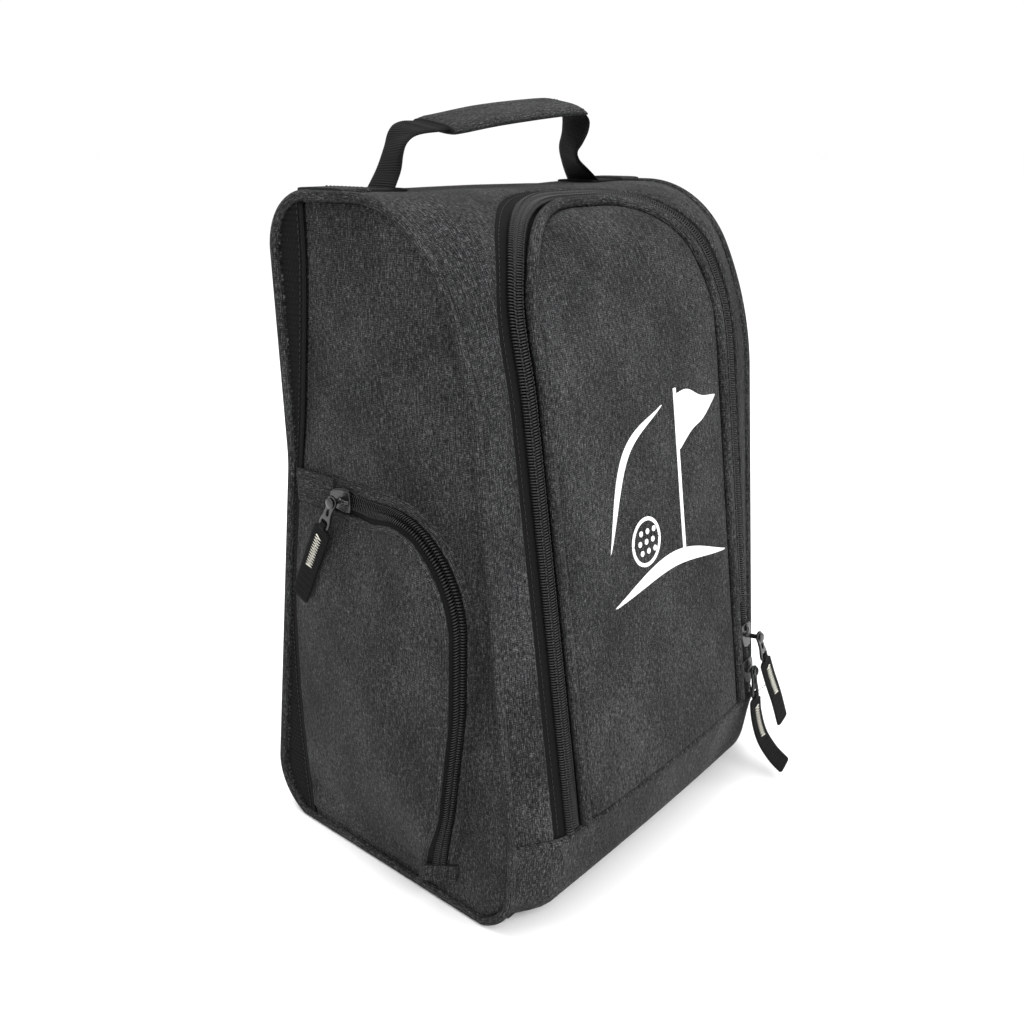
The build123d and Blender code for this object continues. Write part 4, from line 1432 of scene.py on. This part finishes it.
def cushion_band(surface, normal, thick):
    """A closed band of a thickness (by row and column) about a middle surface."""
    top = surface + normal * thick[..., None] / 2
    under = surface - normal * thick[..., None] / 2
    return np.concatenate([top, under[:, ::-1]], 1)


surface, normal = handle_surface(820, STRAP_HALF)
length_along = run_length(surface[:, 6])
cross_share = np.linspace(-1, 1, 13)
edge_round = np.sqrt(np.clip(1 - np.abs(cross_share) ** 8, 0.05, 1))
rib_depth = 0.24 * np.cos(2 * math.pi * length_along / 1.3)
thick = (2.1 + rib_depth[:, None]) * edge_round[None, :]
strap = add_grid("handle_webbing", cushion_band(surface, normal, thick), WEBBING, wrap=True,
                 caps=True)
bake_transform(strap)
label(strap, "webbing", "handle_strap")

GRIP_FROM, GRIP_TO = 0.245, 0.742
surface, normal = handle_surface(150, 16.0, GRIP_FROM, GRIP_TO, 21)
share = np.linspace(-1, 1, 21)
side_round = np.power(np.clip(1 - np.abs(share) ** 3.2, 0.02, 1), 0.5)
along_share = np.linspace(0, 1, 150)
end_round = 0.62 + 0.38 * smooth(np.minimum(along_share, 1 - along_share), 0.0, 0.05)
wave = 1 + 0.05 * np.sin(along_share * 31)[:, None] * np.cos(share * 2)[None, :]
thick = 6.6 * side_round[None, :] * end_round[:, None] * wave
grip = add_grid("handle_sleeve", cushion_band(surface, normal, thick), HEATHER, wrap=True,
                caps=True)
sew(grip, "handle", "shell_fabric", "handle_grip", fill=0.4)
for k in (2, len(surface) - 3):
    line = surface[k, 1:-1] + normal[k, 1:-1] * (thick[k, 1:-1, None] / 2)
    stitch("handle", line, normal[k, 1:-1], 2.4, 1.7, 0.2)
lap = surface[3:-3, 12] + normal[3:-3, 12] * (thick[3:-3, 12, None] / 2)
stitch("handle", lap, normal[3:-3, 12], 2.8, 2.0, 0.2)

for side, sign in SIDES:
    x = np.linspace(71.0, HALF - 1.0, 130) * sign
    flat_line = np.stack([x, np.full(130, HANDLE_Y), np.full(130, 341.0)], -1)
    ribs = 0.10 * np.cos(2 * math.pi * x / 1.3)
    shape = oval(1.0, 1.0, 18, 0.4)
    profile = np.stack([np.broadcast_to(shape[None, :, 0] * 25.0, (130, 18)),
                        shape[None, :, 1] * (1.9 + 2 * ribs)[:, None]], -1)
    end = add_sweep(f"{side}_handle_foot", flat_line, (0, 0, 1), profile, WEBBING)
    sew(end, "root", "webbing", f"{side}_handle_end")
    x = np.linspace(HALF - 17.0, HALF - 0.5, 20) * sign
    cover = np.stack([x, np.full(20, HANDLE_Y), np.full(20, 341.6)], -1)
    patch = add_sweep(f"{side}_handle_patch", cover, (0, 0, 1), oval(30.0, 3.0, 22, 0.4), HEATHER)
    sew(patch, "root", "shell_fabric")
    line = np.stack([np.full(24, sign * (HALF - 14.5)), np.linspace(7, 33, 24),
                     np.full(24, 343.0)], -1)
    stitch("root", line, (0, 0, 1), 2.6, 1.9, 0.2)

# ---------------------------------------------------------------- sewing, view and light

for (body, thread), rows in SEWING.items():
    name = f"stitches_{body}_{thread}"
    obj = add_object(name, new_mesh(name, *join(rows)), THREADS[thread])
    sew(obj, body, "webbing")

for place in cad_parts["base_board"].material_slots:
    place.material = BOARD

REACH = 60.0  # metres of floor to each side
floor_mesh = bpy.data.meshes.new("floor")
floor_mesh.from_pydata([(x * REACH, y * REACH, 0) for x, y in ((-1, -1), (1, -1), (1, 1), (-1, 1))],
                       [], [(0, 1, 2, 3)])
floor = bpy.data.objects.new("floor", floor_mesh)
scene.collection.objects.link(floor)
floor_material = bpy.data.materials.new("pale_floor")
floor_material.use_nodes = True
floor_shader = floor_material.node_tree.nodes["Principled BSDF"]
floor_shader.inputs["Base Color"].default_value = (0.97, 0.97, 0.97, 1)
floor_shader.inputs["Roughness"].default_value = 0.9
floor_mesh.materials.append(floor_material)

camera_data = bpy.data.cameras.new("camera")
camera_data.lens = 35.65  # millimetres
camera_data.sensor_width = 36.0
camera = bpy.data.objects.new("camera", camera_data)
camera.location = (-0.4071, -0.3422, 0.3611)
camera.rotation_mode = "QUATERNION"
camera.rotation_quaternion = Vector((0.7142, 0.6108, -0.3419)).to_track_quat("-Z", "Y")
scene.collection.objects.link(camera)
scene.camera = camera

world = bpy.data.worlds.new("studio")
world.use_nodes = True
world.node_tree.nodes["Background"].inputs["Color"].default_value = (1.0, 1.0, 1.0, 1)
world.node_tree.nodes["Background"].inputs["Strength"].default_value = 1.03
scene.world = world

# Name, place, width in metres and power in watts
LIGHTS = (
    ("key", (-0.6, -1.6, 1.6), 1.2, 24.0),
    ("front", (0.9, -1.6, 0.8), 1.2, 12.0),
    ("top", (-0.2, 0.3, 2.0), 1.4, 26.0),
)
for name, place, width, power in LIGHTS:
    data = bpy.data.lights.new(name, "AREA")
    data.shape = "SQUARE"
    data.size = width
    data.energy = power
    lamp = bpy.data.objects.new(name, data)
    lamp.location = place
    aim = Vector((0.0, 0.0, 0.17)) - Vector(place)
    lamp.rotation_mode = "QUATERNION"
    lamp.rotation_quaternion = aim.to_track_quat("-Z", "Y")
    scene.collection.objects.link(lamp)

scene.view_settings.view_transform = "Standard"
